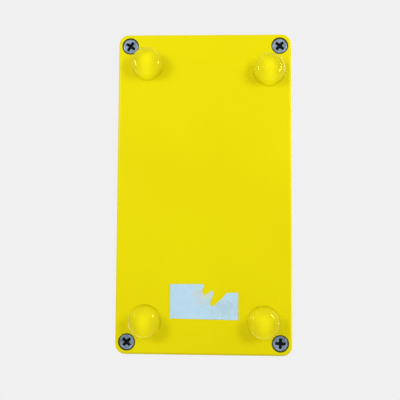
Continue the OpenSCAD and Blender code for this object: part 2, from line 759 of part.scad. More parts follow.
module switch_screws() color("silver") {
    shank_l = switch_w + bracket_t + switch_nut.y + 0.5;
    for (y = switch_hole_ys) translate([-switch_w / 2, y, z_switch_hole]) rotate([0, 90, 0]) {
        cylinder(r = switch_screw_r, h = shank_l);
        difference() {
            translate([0, 0, -switch_head.y]) cylinder(r = switch_head.x, h = switch_head.y);
            translate([-switch_head.x, -0.25, -switch_head.y - cut])
                cube([2 * switch_head.x, 0.5, switch_head.y / 2]);
        }
    }
}

module switch_nuts() color("silver")
    for (y = switch_hole_ys)
        translate([tab_x + bracket_t, y, z_switch_hole]) rotate([0, 90, 0]) difference() {
            cylinder(r = switch_nut.x / sqrt(3), h = switch_nut.y, $fn = 6);
            translate([0, 0, -cut]) cylinder(r = switch_screw_r + seat_fit, h = switch_nut.y + 2 * cut);
        }

module lamp_bezel() color("dimgray")
    translate([0, lamp_y, 0]) rotate_extrude() polygon([
        [lamp_bore_r, z_lamp - lamp_barrel_l], [lamp_r, z_lamp - lamp_barrel_l], [lamp_r, z_lamp],
        [lamp_flange_r, z_lamp], [lamp_flange_r, z_lamp_face - 0.8], [lamp_flange_r - 0.8, z_lamp_face],
        [lens_rim_r, z_lamp_face], [lens_rim_r, z_lens_seat], [lamp_bore_r, z_lens_seat]]);

module lamp_lens() color("red", 0.7) {
    rim_r = lens_rim_r - seat_fit;
    stub_r = lamp_bore_r - seat_fit;
    hollow_r = stub_r - lens_stub_t;
    z_stub = z_lens_seat - lens_stub_l;
    translate([0, lamp_y, 0]) rotate_extrude() polygon(concat(
        [[hollow_r, z_stub], [stub_r, z_stub], [stub_r, z_lens_seat], [rim_r, z_lens_seat]],
        dome(rim_r, lens_rise, z_lamp_face),
        [for (i = [arc_steps:-1:0]) dome(hollow_r, lens_rise / 2, z_lens_seat)[i]]));
}

module lamp_seal() color("black")
    translate([0, lamp_y, z_top]) linear_extrude(lamp_seal_t) difference() {
        circle(r = lamp_flange_r - 0.6);
        circle(r = lamp_r + hole_gap);
    }

module lamp_nut() color("silver")
    translate([0, lamp_y, z_roof - lamp_nut_t]) difference() {
        cylinder(r = lamp_nut_w / sqrt(3), h = lamp_nut_t, $fn = 6);
        translate([0, 0, -cut]) cylinder(r = lamp_r + seat_fit, h = lamp_nut_t + 2 * cut);
    }

module led() color("white", 0.8)
    translate([0, lamp_y, z_board_top]) {
        cylinder(r = led_r + 0.4, h = 1);
        cylinder(r = led_r, h = led_h - led_r);
        translate([0, 0, led_h - led_r]) sphere(r = led_r);
        for (x = led_lead_xs) translate([x, 0, -led_lead_l])
            cylinder(r = led_lead_r, h = led_lead_l + cut);
    }

module circuit_board() color("seagreen") {
    through = board_t + 2 * cut;
    difference() {
        translate([-board_w / 2, board_y0, z_board]) cube([board_w, board_l, board_t]);
        translate([0, 0, z_board - cut]) {
            at_all(board_holes) cylinder(r = board_hole_r, h = through);
            translate([0, lamp_y, 0]) for (x = led_lead_xs) translate([x, 0, 0])
                cylinder(r = led_lead_r + drill_gap, h = through);
            at_all(socket_pins) cylinder(r = socket_pin_r + drill_gap, h = through);
            at_all(resistor_places) for (s = [-1, 1]) translate([s * resistor_span / 2, 0, 0])
                cylinder(r = resistor_lead_r + drill_gap, h = through);
        }
    }
}

module board_screws() color("silver")
    at_all(board_holes) {
        translate([0, 0, z_board]) cylinder(r = board_screw_r, h = board_screw_l);
        difference() {
            translate([0, 0, z_board - board_head_h])
                cylinder(r = board_head_r, h = board_head_h);
            for (turn = [0, 90]) rotate([0, 0, turn + 20])
                translate([-1.5, -0.35, z_board - board_head_h - cut]) cube([3, 0.7, 1 + cut]);
        }
    }

module board_capacitor() color("midnightblue")
    translate([cap_place.x, cap_place.y, z_board - cap_size.y]) difference() {
        cylinder(r = cap_size.x, h = cap_size.y);
        translate([0, 0, cap_size.y - 2.4]) rotate_extrude() translate([cap_size.x + 0.2, 0])
            circle(r = 0.5);
    }

// Body slung under the board between two leads that pass through it
module board_resistors() color("tan") {
    drop = resistor.x + 0.4;
    at_all(resistor_places) translate([0, 0, z_board - drop]) {
        rotate([0, 90, 0]) translate([0, 0, -resistor.y / 2]) cylinder(r = resistor.x, h = resistor.y);
        rotate([0, 90, 0]) translate([0, 0, -resistor_span / 2])
            cylinder(r = resistor_lead_r, h = resistor_span);
        for (s = [-1, 1]) translate([s * resistor_span / 2, 0, 0]) {
            sphere(r = resistor_lead_r);
            cylinder(r = resistor_lead_r, h = drop + board_t + 0.8);
        }
    }
}

module board_chip() color("black") {
    leg = [0.4, 0.8];
    legs = 4;
    translate([chip_place.x, chip_place.y, z_board]) {
        translate([-chip_size.x / 2, -chip_size.y / 2, -chip_stand - chip_size.z]) cube(chip_size);
        for (s = [-1, 1], i = [0:legs - 1])
            translate([s * (chip_size.x + leg.x) / 2, (i - (legs - 1) / 2) * 2.54, 0])
                translate([-leg.x / 2, -leg.y / 2, -chip_stand - chip_size.z / 2])
                    cube([leg.x, leg.y, chip_stand + chip_size.z / 2]);
    }
}

module wire_header() color("ivory")
    translate([header_place.x, header_place.y, z_board - header_size.z]) difference() {
        translate([-header_size.x / 2, -header_size.y / 2, 0]) cube(header_size);
        translate([header_wall - header_size.x / 2, header_wall - header_size.y / 2, -cut])
            cube([header_size.x - 2 * header_wall, header_size.y - 2 * header_wall, plug_in + cut]);
    }

module wire_plug() color("white") {
    side = 2 * (header_wall + push_gap / 2);
    z = z_board - header_size.z + plug_in - plug_h;
    translate([header_place.x, header_place.y, z])
        translate([(side - header_size.x) / 2, (side - header_size.y) / 2, 0])
            cube([header_size.x - side, header_size.y - side, plug_h]);
}

// Two insulated wires, from the plug's lower face to the sides of two solder tags
module switch_wires() color("crimson") {
    sides = 8;
    steps = 22;
    z_plug = z_board - header_size.z + plug_in - plug_h;
    z_tag = z_switch - tag_l / 2;
    for (i = [0, 1]) {
        side = 2 * i - 1;
        x0 = header_place.x + side * wire_pitch / 2;
        x1 = side * (tag_t / 2 + wire_r + push_gap / 2);
        y1 = tag_ys[i + 1];
        p = [[x0, header_place.y, z_plug], [x0, header_place.y, z_plug - 14],
             [x1, header_place.y - 8, z_tag], [x1, y1, z_tag]];
        ring_tube([for (k = [0:steps])
            let (way = bezier_way(p, k / steps),
                 across = cross(way, [1, 0, 0]) / norm(cross(way, [1, 0, 0])),
                 side_way = cross(way, across))
            [for (j = [0:sides - 1]) let (b = 360 * j / sides)
                bezier(p, k / steps) + wire_r * (cos(b) * side_way + sin(b) * across)]]);
    }
}

// Body under the board, with a nose through the end wall and open slots for the contacts
module socket_body() color("black") {
    slot_z = 3;
    difference() {
        union() {
            translate([-socket_w / 2, socket_y0, z_socket]) cube([socket_w, socket_l, socket_h]);
            translate([0, socket_y1 - cut, socket_z]) rotate([-90, 0, 0])
                cylinder(r = socket_nose_r, h = socket_face_y - socket_y1 + cut);
        }
        translate([0, socket_face_y + cut, socket_z]) rotate([90, 0, 0])
            cylinder(r = socket_bore_r, h = socket_bore_l + cut);
        translate([0, socket_face_y - socket_bore_l, socket_z]) rotate([90, 0, 0])
            cylinder(r = socket_chamber_r, h = socket_chamber_l);
        for (s = [-1, 1]) translate([s > 0 ? 0 : -socket_w, socket_y0 + 4, socket_z - slot_z / 2])
            cube([socket_w, socket_chamber_l - 6, slot_z]);
    }
}

// Two contact springs in the body's slots, and three solder pins through the board
module socket_contacts() color("goldenrod") {
    leaf = [0.4, socket_chamber_l - 8, 2.2];
    for (s = [-1, 1])
        translate([s * (socket_chamber_r + 1) - leaf.x / 2, socket_y0 + 5, socket_z - leaf.z / 2])
            cube(leaf);
    at_all(socket_pins) translate([0, 0, z_board]) cylinder(r = socket_pin_r, h = board_t + 0.8);
}

housing();
base_plate();
lid_gasket();
base_screws();
foot(0);  // foot_1
foot(1);  // foot_2
foot(2);  // foot_3
foot(3);  // foot_4
paper_label();
bezel();
bezel_gasket();
bezel_nut();
button_cap();
button_stem();
stem_clip();
stem_bush();
stem_seal();
return_spring();
switch_bracket();
switch_body();
switch_lever();
lever_pin();
switch_plunger();
switch_terminals();
switch_screws();
switch_nuts();
lamp_bezel();
lamp_lens();
lamp_seal();
lamp_nut();
led();
circuit_board();
board_screws();
board_capacitor();
board_resistors();
board_chip();
wire_header();
wire_plug();
switch_wires();
socket_body();
socket_contacts();
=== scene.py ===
# %% [markdown]
# # A push-button box, finished in Blender
# The CAD model gives every piece its size and its place. This lesson lays a better skin over the pieces
# that show, and gives each piece its finish: powder coat, zinc, clear rubber, paper, turned aluminium.
# Lengths in the shape functions are in millimetres, because the box was drawn that way, and they become
# metres when a mesh is made.

# %% Load the CAD frame
import json
import math

import bmesh
import bpy
import numpy as np
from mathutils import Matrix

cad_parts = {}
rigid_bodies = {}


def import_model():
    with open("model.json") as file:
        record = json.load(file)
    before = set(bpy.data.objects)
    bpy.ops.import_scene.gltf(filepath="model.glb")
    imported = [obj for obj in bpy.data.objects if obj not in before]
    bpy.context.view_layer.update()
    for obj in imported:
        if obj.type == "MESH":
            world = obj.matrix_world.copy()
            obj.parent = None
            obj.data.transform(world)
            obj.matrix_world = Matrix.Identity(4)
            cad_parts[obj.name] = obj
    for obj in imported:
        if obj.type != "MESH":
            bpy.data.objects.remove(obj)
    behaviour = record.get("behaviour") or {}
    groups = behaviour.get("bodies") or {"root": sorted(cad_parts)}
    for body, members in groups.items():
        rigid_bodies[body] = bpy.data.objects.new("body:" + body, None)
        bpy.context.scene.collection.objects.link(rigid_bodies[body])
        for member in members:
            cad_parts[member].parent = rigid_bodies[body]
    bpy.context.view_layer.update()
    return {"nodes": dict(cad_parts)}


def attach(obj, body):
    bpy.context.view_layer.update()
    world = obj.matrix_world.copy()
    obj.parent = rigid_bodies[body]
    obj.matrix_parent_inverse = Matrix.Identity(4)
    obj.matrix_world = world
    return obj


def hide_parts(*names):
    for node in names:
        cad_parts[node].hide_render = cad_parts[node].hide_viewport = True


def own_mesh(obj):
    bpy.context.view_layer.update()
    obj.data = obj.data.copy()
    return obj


for start_up in list(bpy.data.objects):
    bpy.data.objects.remove(start_up)
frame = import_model()

# %% [markdown]
# ## The camera
# The box is looked at from below, because that is the side with the feet, the screws and the label. A
# camera could be aimed with a constraint, but a plain place and turn keeps still whatever else changes. A
# 54 mm lens at 0.22 m gives the slight convergence of a close hand-held shot.

# %% Camera under the box
eye = bpy.data.cameras.new("eye")
eye.lens = 54
camera = bpy.data.objects.new("eye", eye)
camera.location = (-0.00674, -0.01733, -0.21951)
camera.rotation_euler = [math.radians(a) for a in (-176.339, -2.071, 179.637)]
bpy.context.scene.collection.objects.link(camera)
bpy.context.scene.camera = camera
bpy.context.scene.view_settings.view_transform = "Standard"
print("camera", [round(v, 4) for v in camera.location], "lens", eye.lens)

# %% [markdown]
# ## The studio
# Soft light can come from many lamps or from a bright room. Here the room gives an even level. The camera,
# mirrors and glass see a pale backdrop. It is the same room seen directly, and it adds no light of its own.

# %% The room
LIGHT, BACKDROP = 0.42, 0.87


def make_room():
    """A world that lights with one level, and shows another to the camera, to gloss and through glass."""
    world = bpy.data.worlds.new("studio")
    bpy.context.scene.world = world
    world.use_nodes = True
    tree = world.node_tree
    tree.nodes.clear()
    path = tree.nodes.new("ShaderNodeLightPath")
    sees = None
    for ray in ("Is Camera Ray", "Is Glossy Ray", "Is Transmission Ray"):
        if sees is None:
            sees = path.outputs[ray]
        else:
            most = tree.nodes.new("ShaderNodeMath")
            most.operation = "MAXIMUM"
            tree.links.new(sees, most.inputs[0])
            tree.links.new(path.outputs[ray], most.inputs[1])
            sees = most.outputs[0]
    level = tree.nodes.new("ShaderNodeMapRange")
    level.inputs["To Min"].default_value = LIGHT
    level.inputs["To Max"].default_value = BACKDROP
    tree.links.new(sees, level.inputs["Value"])
    back = tree.nodes.new("ShaderNodeBackground")
    back.inputs["Color"].default_value = (1.0, 1.0, 1.0, 1.0)
    tree.links.new(level.outputs[0], back.inputs["Strength"])
    out = tree.nodes.new("ShaderNodeOutputWorld")
    tree.links.new(back.outputs[0], out.inputs[0])


make_room()
print("room level", LIGHT, "backdrop", BACKDROP)

# %% [markdown]
# ## The lamps
# The room alone would light every face alike. Square lamps above and below give the faces their tones, and
# the larger a lamp is, the softer its shadows are. Sun lamps would be simpler, but their reflections are
# points. A narrow lamp low on one side draws a pale line along the plate's rounded edge.

# %% Lamps above, below and beside the box
def hang(name, lamp, at, towards):
    """Put a lamp at one point, facing another, out of the camera's and the clear rubber's sight."""
    o = bpy.data.objects.new(name, lamp)
    o.location = at
    aim = np.array(towards) - np.array(at)
    flat = math.hypot(aim[0], aim[1])
    o.rotation_euler = (math.atan2(flat, -aim[2]), 0, math.atan2(-aim[0], aim[1]))
    o.visible_camera = o.visible_transmission = False
    bpy.context.scene.collection.objects.link(o)


def soft_lamp(name, at, towards, side, watts):
    """A square lamp of the given side."""
    lamp = bpy.data.lights.new(name, "AREA")
    lamp.shape, lamp.size, lamp.energy = "SQUARE", side, watts
    hang(name, lamp, at, towards)


def narrow_lamp(name, at, towards, cone, radius, watts):
    """A round lamp whose light stays in a cone, given in degrees, so that the floor gets little of it."""
    lamp = bpy.data.lights.new(name, "SPOT")
    lamp.spot_size, lamp.spot_blend = math.radians(cone), 0.4
    lamp.shadow_soft_size, lamp.energy = radius, watts
    hang(name, lamp, at, towards)


soft_lamp("under_left", (0.30, 0.12, -0.28), (0, 0, 0.005), 0.13, 0.80)
soft_lamp("under_right", (-0.30, 0.12, -0.28), (0, 0, 0.005), 0.13, 0.86)
soft_lamp("key", (0.60, -0.60, 0.62), (0, 0, 0.03), 1.1, 6.4)
soft_lamp("fill", (-0.65, 0.50, 0.62), (0, 0, 0.03), 1.0, 4.0)
narrow_lamp("edge_light", (-0.60, -0.10, 0.05), (0, 0, 0.02), 20, 0.05, 3.8)

# %% [markdown]
# ## From a grid of points to a piece
# Every new piece is a surface with two parameters. One runs along the rows of a grid, the other along its
# columns. A grid may close on itself, as a turned piece does. Several grids that share their edges are
# merged to one closed skin, and then Blender turns its faces outwards. Adding points one by one would be
# slow and long-winded, so whole arrays go in at once.

# %% Helpers that build meshes
MM = 0.001
TURN = 2 * np.pi


def quads(rows, cols, ring_rows=False, ring_cols=False):
    """Corner numbers of the faces between neighbours (i, j), (i+1, j), (i+1, j+1), (i, j+1) of a grid."""
    i, j = np.meshgrid(np.arange(rows - (not ring_rows)), np.arange(cols - (not ring_cols)), indexing="ij")
    i, j = i.ravel(), j.ravel()
    after_i, after_j = (i + 1) % rows, (j + 1) % cols
    return np.stack([i * cols + j, after_i * cols + j, after_i * cols + after_j, i * cols + after_j], axis=1)


def grid(points, ring_rows=False, ring_cols=False):
    """A (rows, cols, 3) array of points in mm, as a list of points and a list of faces."""
    points = np.asarray(points, float)
    rows, cols = points.shape[:2]
    return points.reshape(-1, 3), quads(rows, cols, ring_rows, ring_cols)


def skin(name, grids, tags=None):
    """Merge grids to closed skins in one mesh, and turn their faces outwards."""
    starts = np.cumsum([0] + [len(p) for p, _ in grids])[:-1]
    points = np.concatenate([p for p, _ in grids]) * MM
    faces = np.concatenate([f + s for (_, f), s in zip(grids, starts)])
    mesh = bpy.data.meshes.new(name)
    mesh.from_pydata(points.tolist(), [], faces.tolist())
    if tags is not None:
        mesh.attributes.new("mark", "FLOAT", "POINT").data.foreach_set("value", np.asarray(tags, np.float32))
    work = bmesh.new()
    work.from_mesh(mesh)
    bmesh.ops.remove_doubles(work, verts=work.verts, dist=2e-7)
    bmesh.ops.dissolve_degenerate(work, edges=work.edges, dist=1e-7)
    bmesh.ops.recalc_face_normals(work, faces=work.faces)
    open_edges = sum(not e.is_manifold for e in work.edges)
    work.to_mesh(mesh)
    work.free()
    print(f"{name}: {len(mesh.polygons)} faces, {open_edges} open edges")
    return mesh


def shade(mesh, sharp):
    """Smooth shading up to an angle in degrees, sharp edges above it."""
    mesh.shade_smooth()
    mesh.set_sharp_from_angle(angle=math.radians(sharp))


def build(name, grids, body, nodes=(), sharp=32, tags=None):
    """A finished piece: its skin, shaded, riding on a body in place of the CAD nodes that it refines."""
    mesh = skin(name, grids, tags)
    shade(mesh, sharp)
    o = bpy.data.objects.new(name, mesh)
    bpy.context.scene.collection.objects.link(o)
    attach(o, body)
    if nodes:
        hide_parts(*nodes)
    return o


print("one mesh unit is a metre, and one millimetre is", MM)

# %% [markdown]
# ## Outlines and turned shapes
# A turned piece is an outline of (radius, height) spun round its axis. Blender's Screw modifier could spin
# it, but one array of points is as short and leaves nothing to apply. Long straight runs get a point near
# both ends, so that smooth shading bends at the corners only.

# %% Helpers for outlines
def guard(outline, by=0.12):
    """Add a point close to both ends of each long straight run, so that its shading stays straight."""
    a, b = outline[:-1], outline[1:]
    run = np.linalg.norm(b - a, axis=1)
    step = (b - a) / np.maximum(run, 1e-9)[:, None] * by
    keep = np.stack([run > 0, run > 4 * by, run > 4 * by], axis=1).ravel()
    return np.vstack([np.stack([a, a + step, b - step], axis=1).reshape(-1, 2)[keep], outline[-1:]])


def lathe(outline, at=(0, 0), steps=96, closed=False):
    """An outline of (radius, height) turned round a vertical axis: x = r cos a, y = r sin a, z = height."""
    outline = np.asarray(outline, float)
    r, z = guard(np.vstack([outline, outline[:1]]) if closed else outline).T
    a = np.linspace(0, TURN, steps, endpoint=False)
    x, y = at[0] + np.outer(r, np.cos(a)), at[1] + np.outer(r, np.sin(a))
    return grid(np.stack([x, y, np.broadcast_to(z[:, None], x.shape)], axis=2), ring_cols=True)


def bend(centre, radius, start, end, steps=8):
    """Points on an arc in the (radius, height) plane, from one angle in degrees to another."""
    a = np.radians(np.linspace(start, end, steps + 1))
    return np.stack([centre[0] + radius * np.cos(a), centre[1] + radius * np.sin(a)], axis=1)


def profile(*parts):
    """Join points and arcs to one outline."""
    return np.concatenate([np.atleast_2d(np.asarray(p, float)) for p in parts])


print("a quarter of a circle in 8 steps has", len(bend((0, 0), 1, 0, 90)), "points")


# %% [markdown]
# ## The base plate
# The real plate is die-cast: flat outside, with a softly rounded edge and four countersunk holes. A boolean
# cut would leave long thin faces round the holes, and they shade badly. Here each quarter of the plate is
# one fan: rays go out from a screw's centre, and the rows run from the hole, up the countersink and over
# the flat to the quarter's border. Painted shade for the holes and the countersinks' cones is stored with
# the points as "mark".

# %% A quarter of the plate
HALF_X, HALF_Y = 33.0, 60.6             # half the plate's width and length
CORNER_R, EDGE_R = 3.8, 1.0
Z_PLATE, Z_RIM = 5.5, 7.9               # the plate's outer face, and where it meets the housing
SCREW_X, SCREW_Y = 28.5, 56.0
HOLE_R, SINK_R = 1.9, 3.28              # radii of a screw hole and of its countersink's mouth
LEDGE = 0.8                             # width of the ledge that the rubber ring lies on


def fan_border(centre, low, high, corner_r=0.0, steps=64):
    """Where rays from a centre leave a rectangle whose corner (high) may be round; corners get a ray each."""
    cx, cy = centre
    corners = [(x, y) for x in (low[0], high[0]) for y in (low[1], high[1])]
    special = [math.atan2(y - cy, x - cx) % TURN for x, y in corners]
    if corner_r:
        special += [math.atan2(high[1] - cy, high[0] - corner_r - cx) % TURN,
                    math.atan2(high[1] - corner_r - cy, high[0] - cx) % TURN]
    a = np.unique(np.round(np.concatenate([np.linspace(0, TURN, steps, endpoint=False), special]), 9))
    dx, dy = np.cos(a), np.sin(a)
    with np.errstate(divide="ignore"):
        reach_x = np.where(dx > 0, (high[0] - cx) / dx, np.where(dx < 0, (low[0] - cx) / dx, np.inf))
        reach_y = np.where(dy > 0, (high[1] - cy) / dy, np.where(dy < 0, (low[1] - cy) / dy, np.inf))
    reach = np.minimum(reach_x, reach_y)
    if corner_r:
        ox, oy = high[0] - corner_r - cx, high[1] - corner_r - cy
        along = dx * ox + dy * oy
        inside = np.maximum(along**2 - (ox**2 + oy**2 - corner_r**2), 0)
        arc = along + np.sqrt(inside)
        x, y = cx + reach * dx, cy + reach * dy
        reach = np.where((x > high[0] - corner_r) & (y > high[1] - corner_r), arc, reach)
    return a, np.stack([cx + reach * dx, cy + reach * dy], axis=1)


def quarter(sign):
    """One quarter of the plate: rows go from the inner face, through the hole, to the outer face's border."""
    half = np.array([HALF_X - EDGE_R, HALF_Y - EDGE_R])
    r = CORNER_R - EDGE_R
    a, border = fan_border((SCREW_X, SCREW_Y), (0, 0), half, r)
    away = border - np.clip(border, None, half - r)
    reach = np.linalg.norm(away, axis=1, keepdims=True)
    outer = reach > r - 1e-6
    normal = np.where(outer, away / np.maximum(reach, 1e-9), 0)
    ring = np.stack([np.cos(a), np.sin(a)], axis=1)
    hole = np.array([SCREW_X, SCREW_Y])
    sink = [(HOLE_R, Z_RIM), (HOLE_R, 6.8), (3.08, 5.6), (3.15, 5.53), (3.22, 5.505), (SINK_R, Z_PLATE),
            (SINK_R + 0.1, Z_PLATE)]
    # Painted shade: how dark each row is painted, darkest down the hole and the countersink's cone.
    sink_shade = np.array([0, 0.5, 1, 1, 1, 0.5, 0, 0, 0, 0])
    rows = [(border - LEDGE * normal, Z_RIM)] + [(hole + r * ring, z) for r, z in sink]
    rows += [(border - 0.1 * normal, Z_PLATE), (border, Z_PLATE)]
    points = np.stack([np.column_stack([xy * sign, np.full(len(xy), z)]) for xy, z in rows])
    keep = outer[:, 0]
    mark = np.repeat(sink_shade, len(border))
    return grid(points, ring_cols=True), border[keep] * sign, normal[keep] * sign, mark


quarters = [quarter(np.array(signs)) for signs in ((1, 1), (-1, 1), (1, -1), (-1, -1))]
fans, paths, normals, marks = zip(*quarters)
print("points in each quarter:", [len(points) for points, _ in fans])

# %% [markdown]
# ## The plate's edge and its lips
# The rounded edge is a profile carried round the outline, in one piece. A bevel modifier would round it as
# well, but it would also round the countersinks. Inside the box four lips keep the plate in place, each a
# rounded block that closes on its middle.

# %% The whole plate
def carry(path, normals, section):
    """A section of (outset, height) pairs carried round a closed path: p + outset * normal."""
    out, z = np.asarray(section, float).T
    xy = path[None] + out[:, None, None] * normals[None]
    return grid(np.dstack([xy, np.broadcast_to(z[:, None], xy.shape[:2])]), ring_cols=True)


def slab(centre, half, r, section, steps=6):
    """A rounded rectangle whose section of (inset, height) closes on its middle at both ends."""
    corner = np.repeat(np.array([[1, 1], [-1, 1], [-1, -1], [1, -1]]), steps + 1, axis=0)
    turn = np.concatenate([np.linspace(0, 90, steps + 1) + 90 * k for k in range(4)])
    normal = np.stack([np.cos(np.radians(turn)), np.sin(np.radians(turn))], axis=1)
    path = corner * (np.asarray(half, float) - r) + r * normal
    rows = [np.column_stack([centre + path - d * normal, np.full(len(path), z)]) for d, z in section]
    ends = [np.column_stack([np.broadcast_to(np.asarray(centre, float), path.shape), row[:, 2]])
            for row in (rows[0], rows[-1])]
    return grid(np.stack([ends[0], *rows, ends[1]]), ring_cols=True)


border, outward = np.concatenate(paths), np.concatenate(normals)
order = np.argsort(np.arctan2(border[:, 1], border[:, 0]))
border, outward = border[order], outward[order]
fresh = np.linalg.norm(border - np.roll(border, 1, axis=0), axis=1) > 1e-4
GROOVE_Z = 7.1                          # floor of the groove for the rubber ring
LIP_INSET, LIP_HALF, LIP_Z = 3.1, 0.6, 9.4
edge = profile((0, Z_PLATE), bend((0, Z_PLATE + EDGE_R), EDGE_R, -90, 0, 10)[1:], (1, 6.7), (1, 7.66),
               (0.94, 7.8), (0.78, Z_RIM), (0.2, Z_RIM), (0.2, GROOVE_Z), (-LEDGE, GROOVE_Z), (-LEDGE, Z_RIM))
lip_section = [(0, Z_RIM - 0.02), (0, LIP_Z - 0.2), (0.2, LIP_Z)]
lips = [slab((side * (HALF_X - LIP_INSET), 0), (LIP_HALF, 51.4), 0.5, lip_section) for side in (-1, 1)]
lips += [slab((0, side * (HALF_Y - LIP_INSET)), (23.9, LIP_HALF), 0.5, lip_section) for side in (-1, 1)]
clean = [carry(border[fresh], outward[fresh], edge), *lips]
# Painted shade in the countersinks, and none on the edge and the lips.
painted_shade = np.concatenate([*marks, *[np.zeros(len(points)) for points, _ in clean]])
plate = build("cover_plate", [*fans, *clean], "case", ["base_plate"], tags=painted_shade)

# %% [markdown]
# ## The cross-head screws
# A cross recess is two crossed slots that grow shallower outwards, so the driver centres itself. It
# could be cut with a boolean, but that leaves razor edges. Here the head's face is a height field over a
# square grid that is pulled to a disc: x = R u sqrt(1 - v^2 / 2), y = R v sqrt(1 - u^2 / 2). The grid's
# lines lie closest together where the slots run. A ring of rows then adds the rim, the cone and the
# threaded shank.

# %% Screw geometry
SCREWS = [((SCREW_X, SCREW_Y), 34), ((-SCREW_X, SCREW_Y), 42),       # place, and turn in degrees
          ((SCREW_X, -SCREW_Y), 45), ((-SCREW_X, -SCREW_Y), 2)]
HEAD_R, FACE_R, Z_HEAD = 2.8, 2.6, 5.75


def ease(x):
    """Smooth step from 0 to 1: 3x^2 - 2x^3 with x held between 0 and 1."""
    x = np.clip(x, 0, 1)
    return x * x * (3 - 2 * x)


def recess(x, y):
    """Depth of the cross at (x, y) in mm: the deeper of its two slots, whose ends are round."""
    def slot_depth(along, across):
        side = ease((0.58 - across) / 0.2)
        end = ease((2.0 - np.hypot(along, across * 0.8)) / 0.3)
        return (1.25 - 0.3 * along) * side * end
    x, y = np.abs(x), np.abs(y)
    return np.maximum(slot_depth(x, y), slot_depth(y, x))


def screw(at, turn):
    """Face, rim, cone and threaded shank of one screw as grids, and each point's painted shade: by depth in
    the cross, and on the rim.
    """
    angle = math.radians(turn)
    half = np.concatenate([np.linspace(0, 0.26, 12)[:-1], np.linspace(0.26, 0.82, 15)[:-1],
                           np.linspace(0.82, 1, 4)])
    line = np.concatenate([-half[:0:-1], half])
    u, v = np.meshgrid(line, line, indexing="ij")
    x, y = FACE_R * u * np.sqrt(1 - v**2 / 2), FACE_R * v * np.sqrt(1 - u**2 / 2)
    depth = recess(x, y)
    crown = 0.05 * (x**2 + y**2) / FACE_R**2
    face = np.dstack([x, y, Z_HEAD + crown + depth])
    rim = np.concatenate([face[:-1, 0], face[-1, :-1], face[:0:-1, -1], face[0, :0:-1]])
    ray = rim[:, :2] / np.linalg.norm(rim[:, :2], axis=1, keepdims=True)
    shank = [(1.75 if k % 2 else 1.45, z) for k, z in enumerate(np.arange(8.4, 17.6, 0.35))]
    outline = [(FACE_R, Z_HEAD + 0.05), (2.7, Z_HEAD + 0.08), (2.77, Z_HEAD + 0.13), (HEAD_R, Z_HEAD + 0.2),
               (1.75, Z_HEAD + 1.25), (1.75, 8.2), *shank, (1.2, Z_HEAD + 12.4), (0.9, Z_HEAD + 12.7),
               (0.0, Z_HEAD + 12.7)]
    body = np.stack([np.column_stack([r * ray, np.full(len(ray), z)]) for r, z in outline])
    spin = np.array([[math.cos(angle), math.sin(angle), 0],
                     [-math.sin(angle), math.cos(angle), 0],
                     [0, 0, 1]])
    place = np.array([*at, 0])
    # Painted shade: the head's outer edge is painted darker, and the cone and shank below it black.
    rings = np.concatenate([[0, 0, 0.25, 0.8], np.ones(len(outline) - 4)])
    mark = np.concatenate([np.clip(depth / 0.6, 0, 1).ravel(), np.repeat(rings, len(ray))])
    return [grid(face @ spin + place), grid(body @ spin + place, ring_cols=True)], mark


made = [screw(at, turn) for at, turn in SCREWS]
screws = build("cross_screws", [g for grids, _ in made for g in grids], "case", ["base_screws"],
               sharp=60, tags=np.concatenate([m for _, m in made]))

# %% [markdown]
# ## The bumper feet
# Stick-on feet are cast from clear polyurethane: a flat to stand on, a round shoulder, and a side that
# widens to the stuck face. They could be four copies of one object, but they were stuck on by hand, each
# with its own place, so each has its own mesh. The stuck face goes a hair into the plate. Light then passes
# from the rubber to the paint without a layer of air between, as it does through adhesive.

# %% Foot geometry
FEET = {"foot_1": (21.8, 48.9), "foot_2": (-24.4, 46.6), "foot_3": (21.9, -48.3), "foot_4": (-22.3, -48.3)}
foot_outline = profile((0, 0), (3.1, 0), bend((3.3, 2.5), 2.5, -88, -8, 16), (5.83, 2.9), (5.97, 3.7),
                       (6.12, 4.5), (6.24, 5.1), bend((6.07, 5.32), 0.2, 0, 90, 3), (6.0, 5.52), (0, 5.52))
feet = [build("clear_" + name, [lathe(foot_outline, place, steps=128)], "case", [name],
              sharp=60)
        for name, place in FEET.items()]

# %% [markdown]
# ## The torn label
# Once peeled at, a paper label keeps three clean edges and one ragged one. The ragged edge is a curve of
# its own, with small fibre-sized wobble added to the large tear. The paper is ruled between the clean
# bottom edge and that curve: point(s, t) = (1 - t) * bottom(s) + t * torn(s). Each point of the tear has a
# partner on the bottom edge that keeps the rulings from crossing. The paper thins towards the tear.

# %% Label geometry
LABEL_CORNER = (12.4, -47.1)      # where its long clean side begins, seen from below
TEAR = np.array([
    # torn edge x, y and its partner on the bottom edge
    (0.0, 12.6, 0.0), (6.0, 12.7, 4.0), (12.2, 12.7, 8.0), (12.6, 12.1, 8.4), (12.0, 10.8, 8.9),
    (11.8, 9.7, 9.6), (13.1, 8.9, 10.4), (14.1, 9.4, 10.9), (14.8, 10.1, 11.4), (16.2, 10.3, 11.9),
    (16.0, 8.7, 12.3), (15.3, 7.2, 12.9), (14.9, 5.6, 13.6), (15.2, 4.5, 14.8), (16.4, 4.8, 16.2),
    (17.7, 6.2, 17.6), (19.2, 7.3, 19.1), (20.2, 8.5, 20.1), (21.1, 9.5, 21.0), (25.3, 9.7, 25.3)])


def wobble(s, seed, size):
    """Sum of sines of rising frequency and falling height, a repeatable ragged line."""
    random = np.random.default_rng(seed)
    waves = np.array([19, 37, 61, 97, 151])
    phase, share = random.uniform(0, TURN, 5), random.uniform(0.5, 1, 5) / np.sqrt(waves / 19)
    return size * (np.sin(np.outer(s, waves) + phase) * share).sum(axis=1)


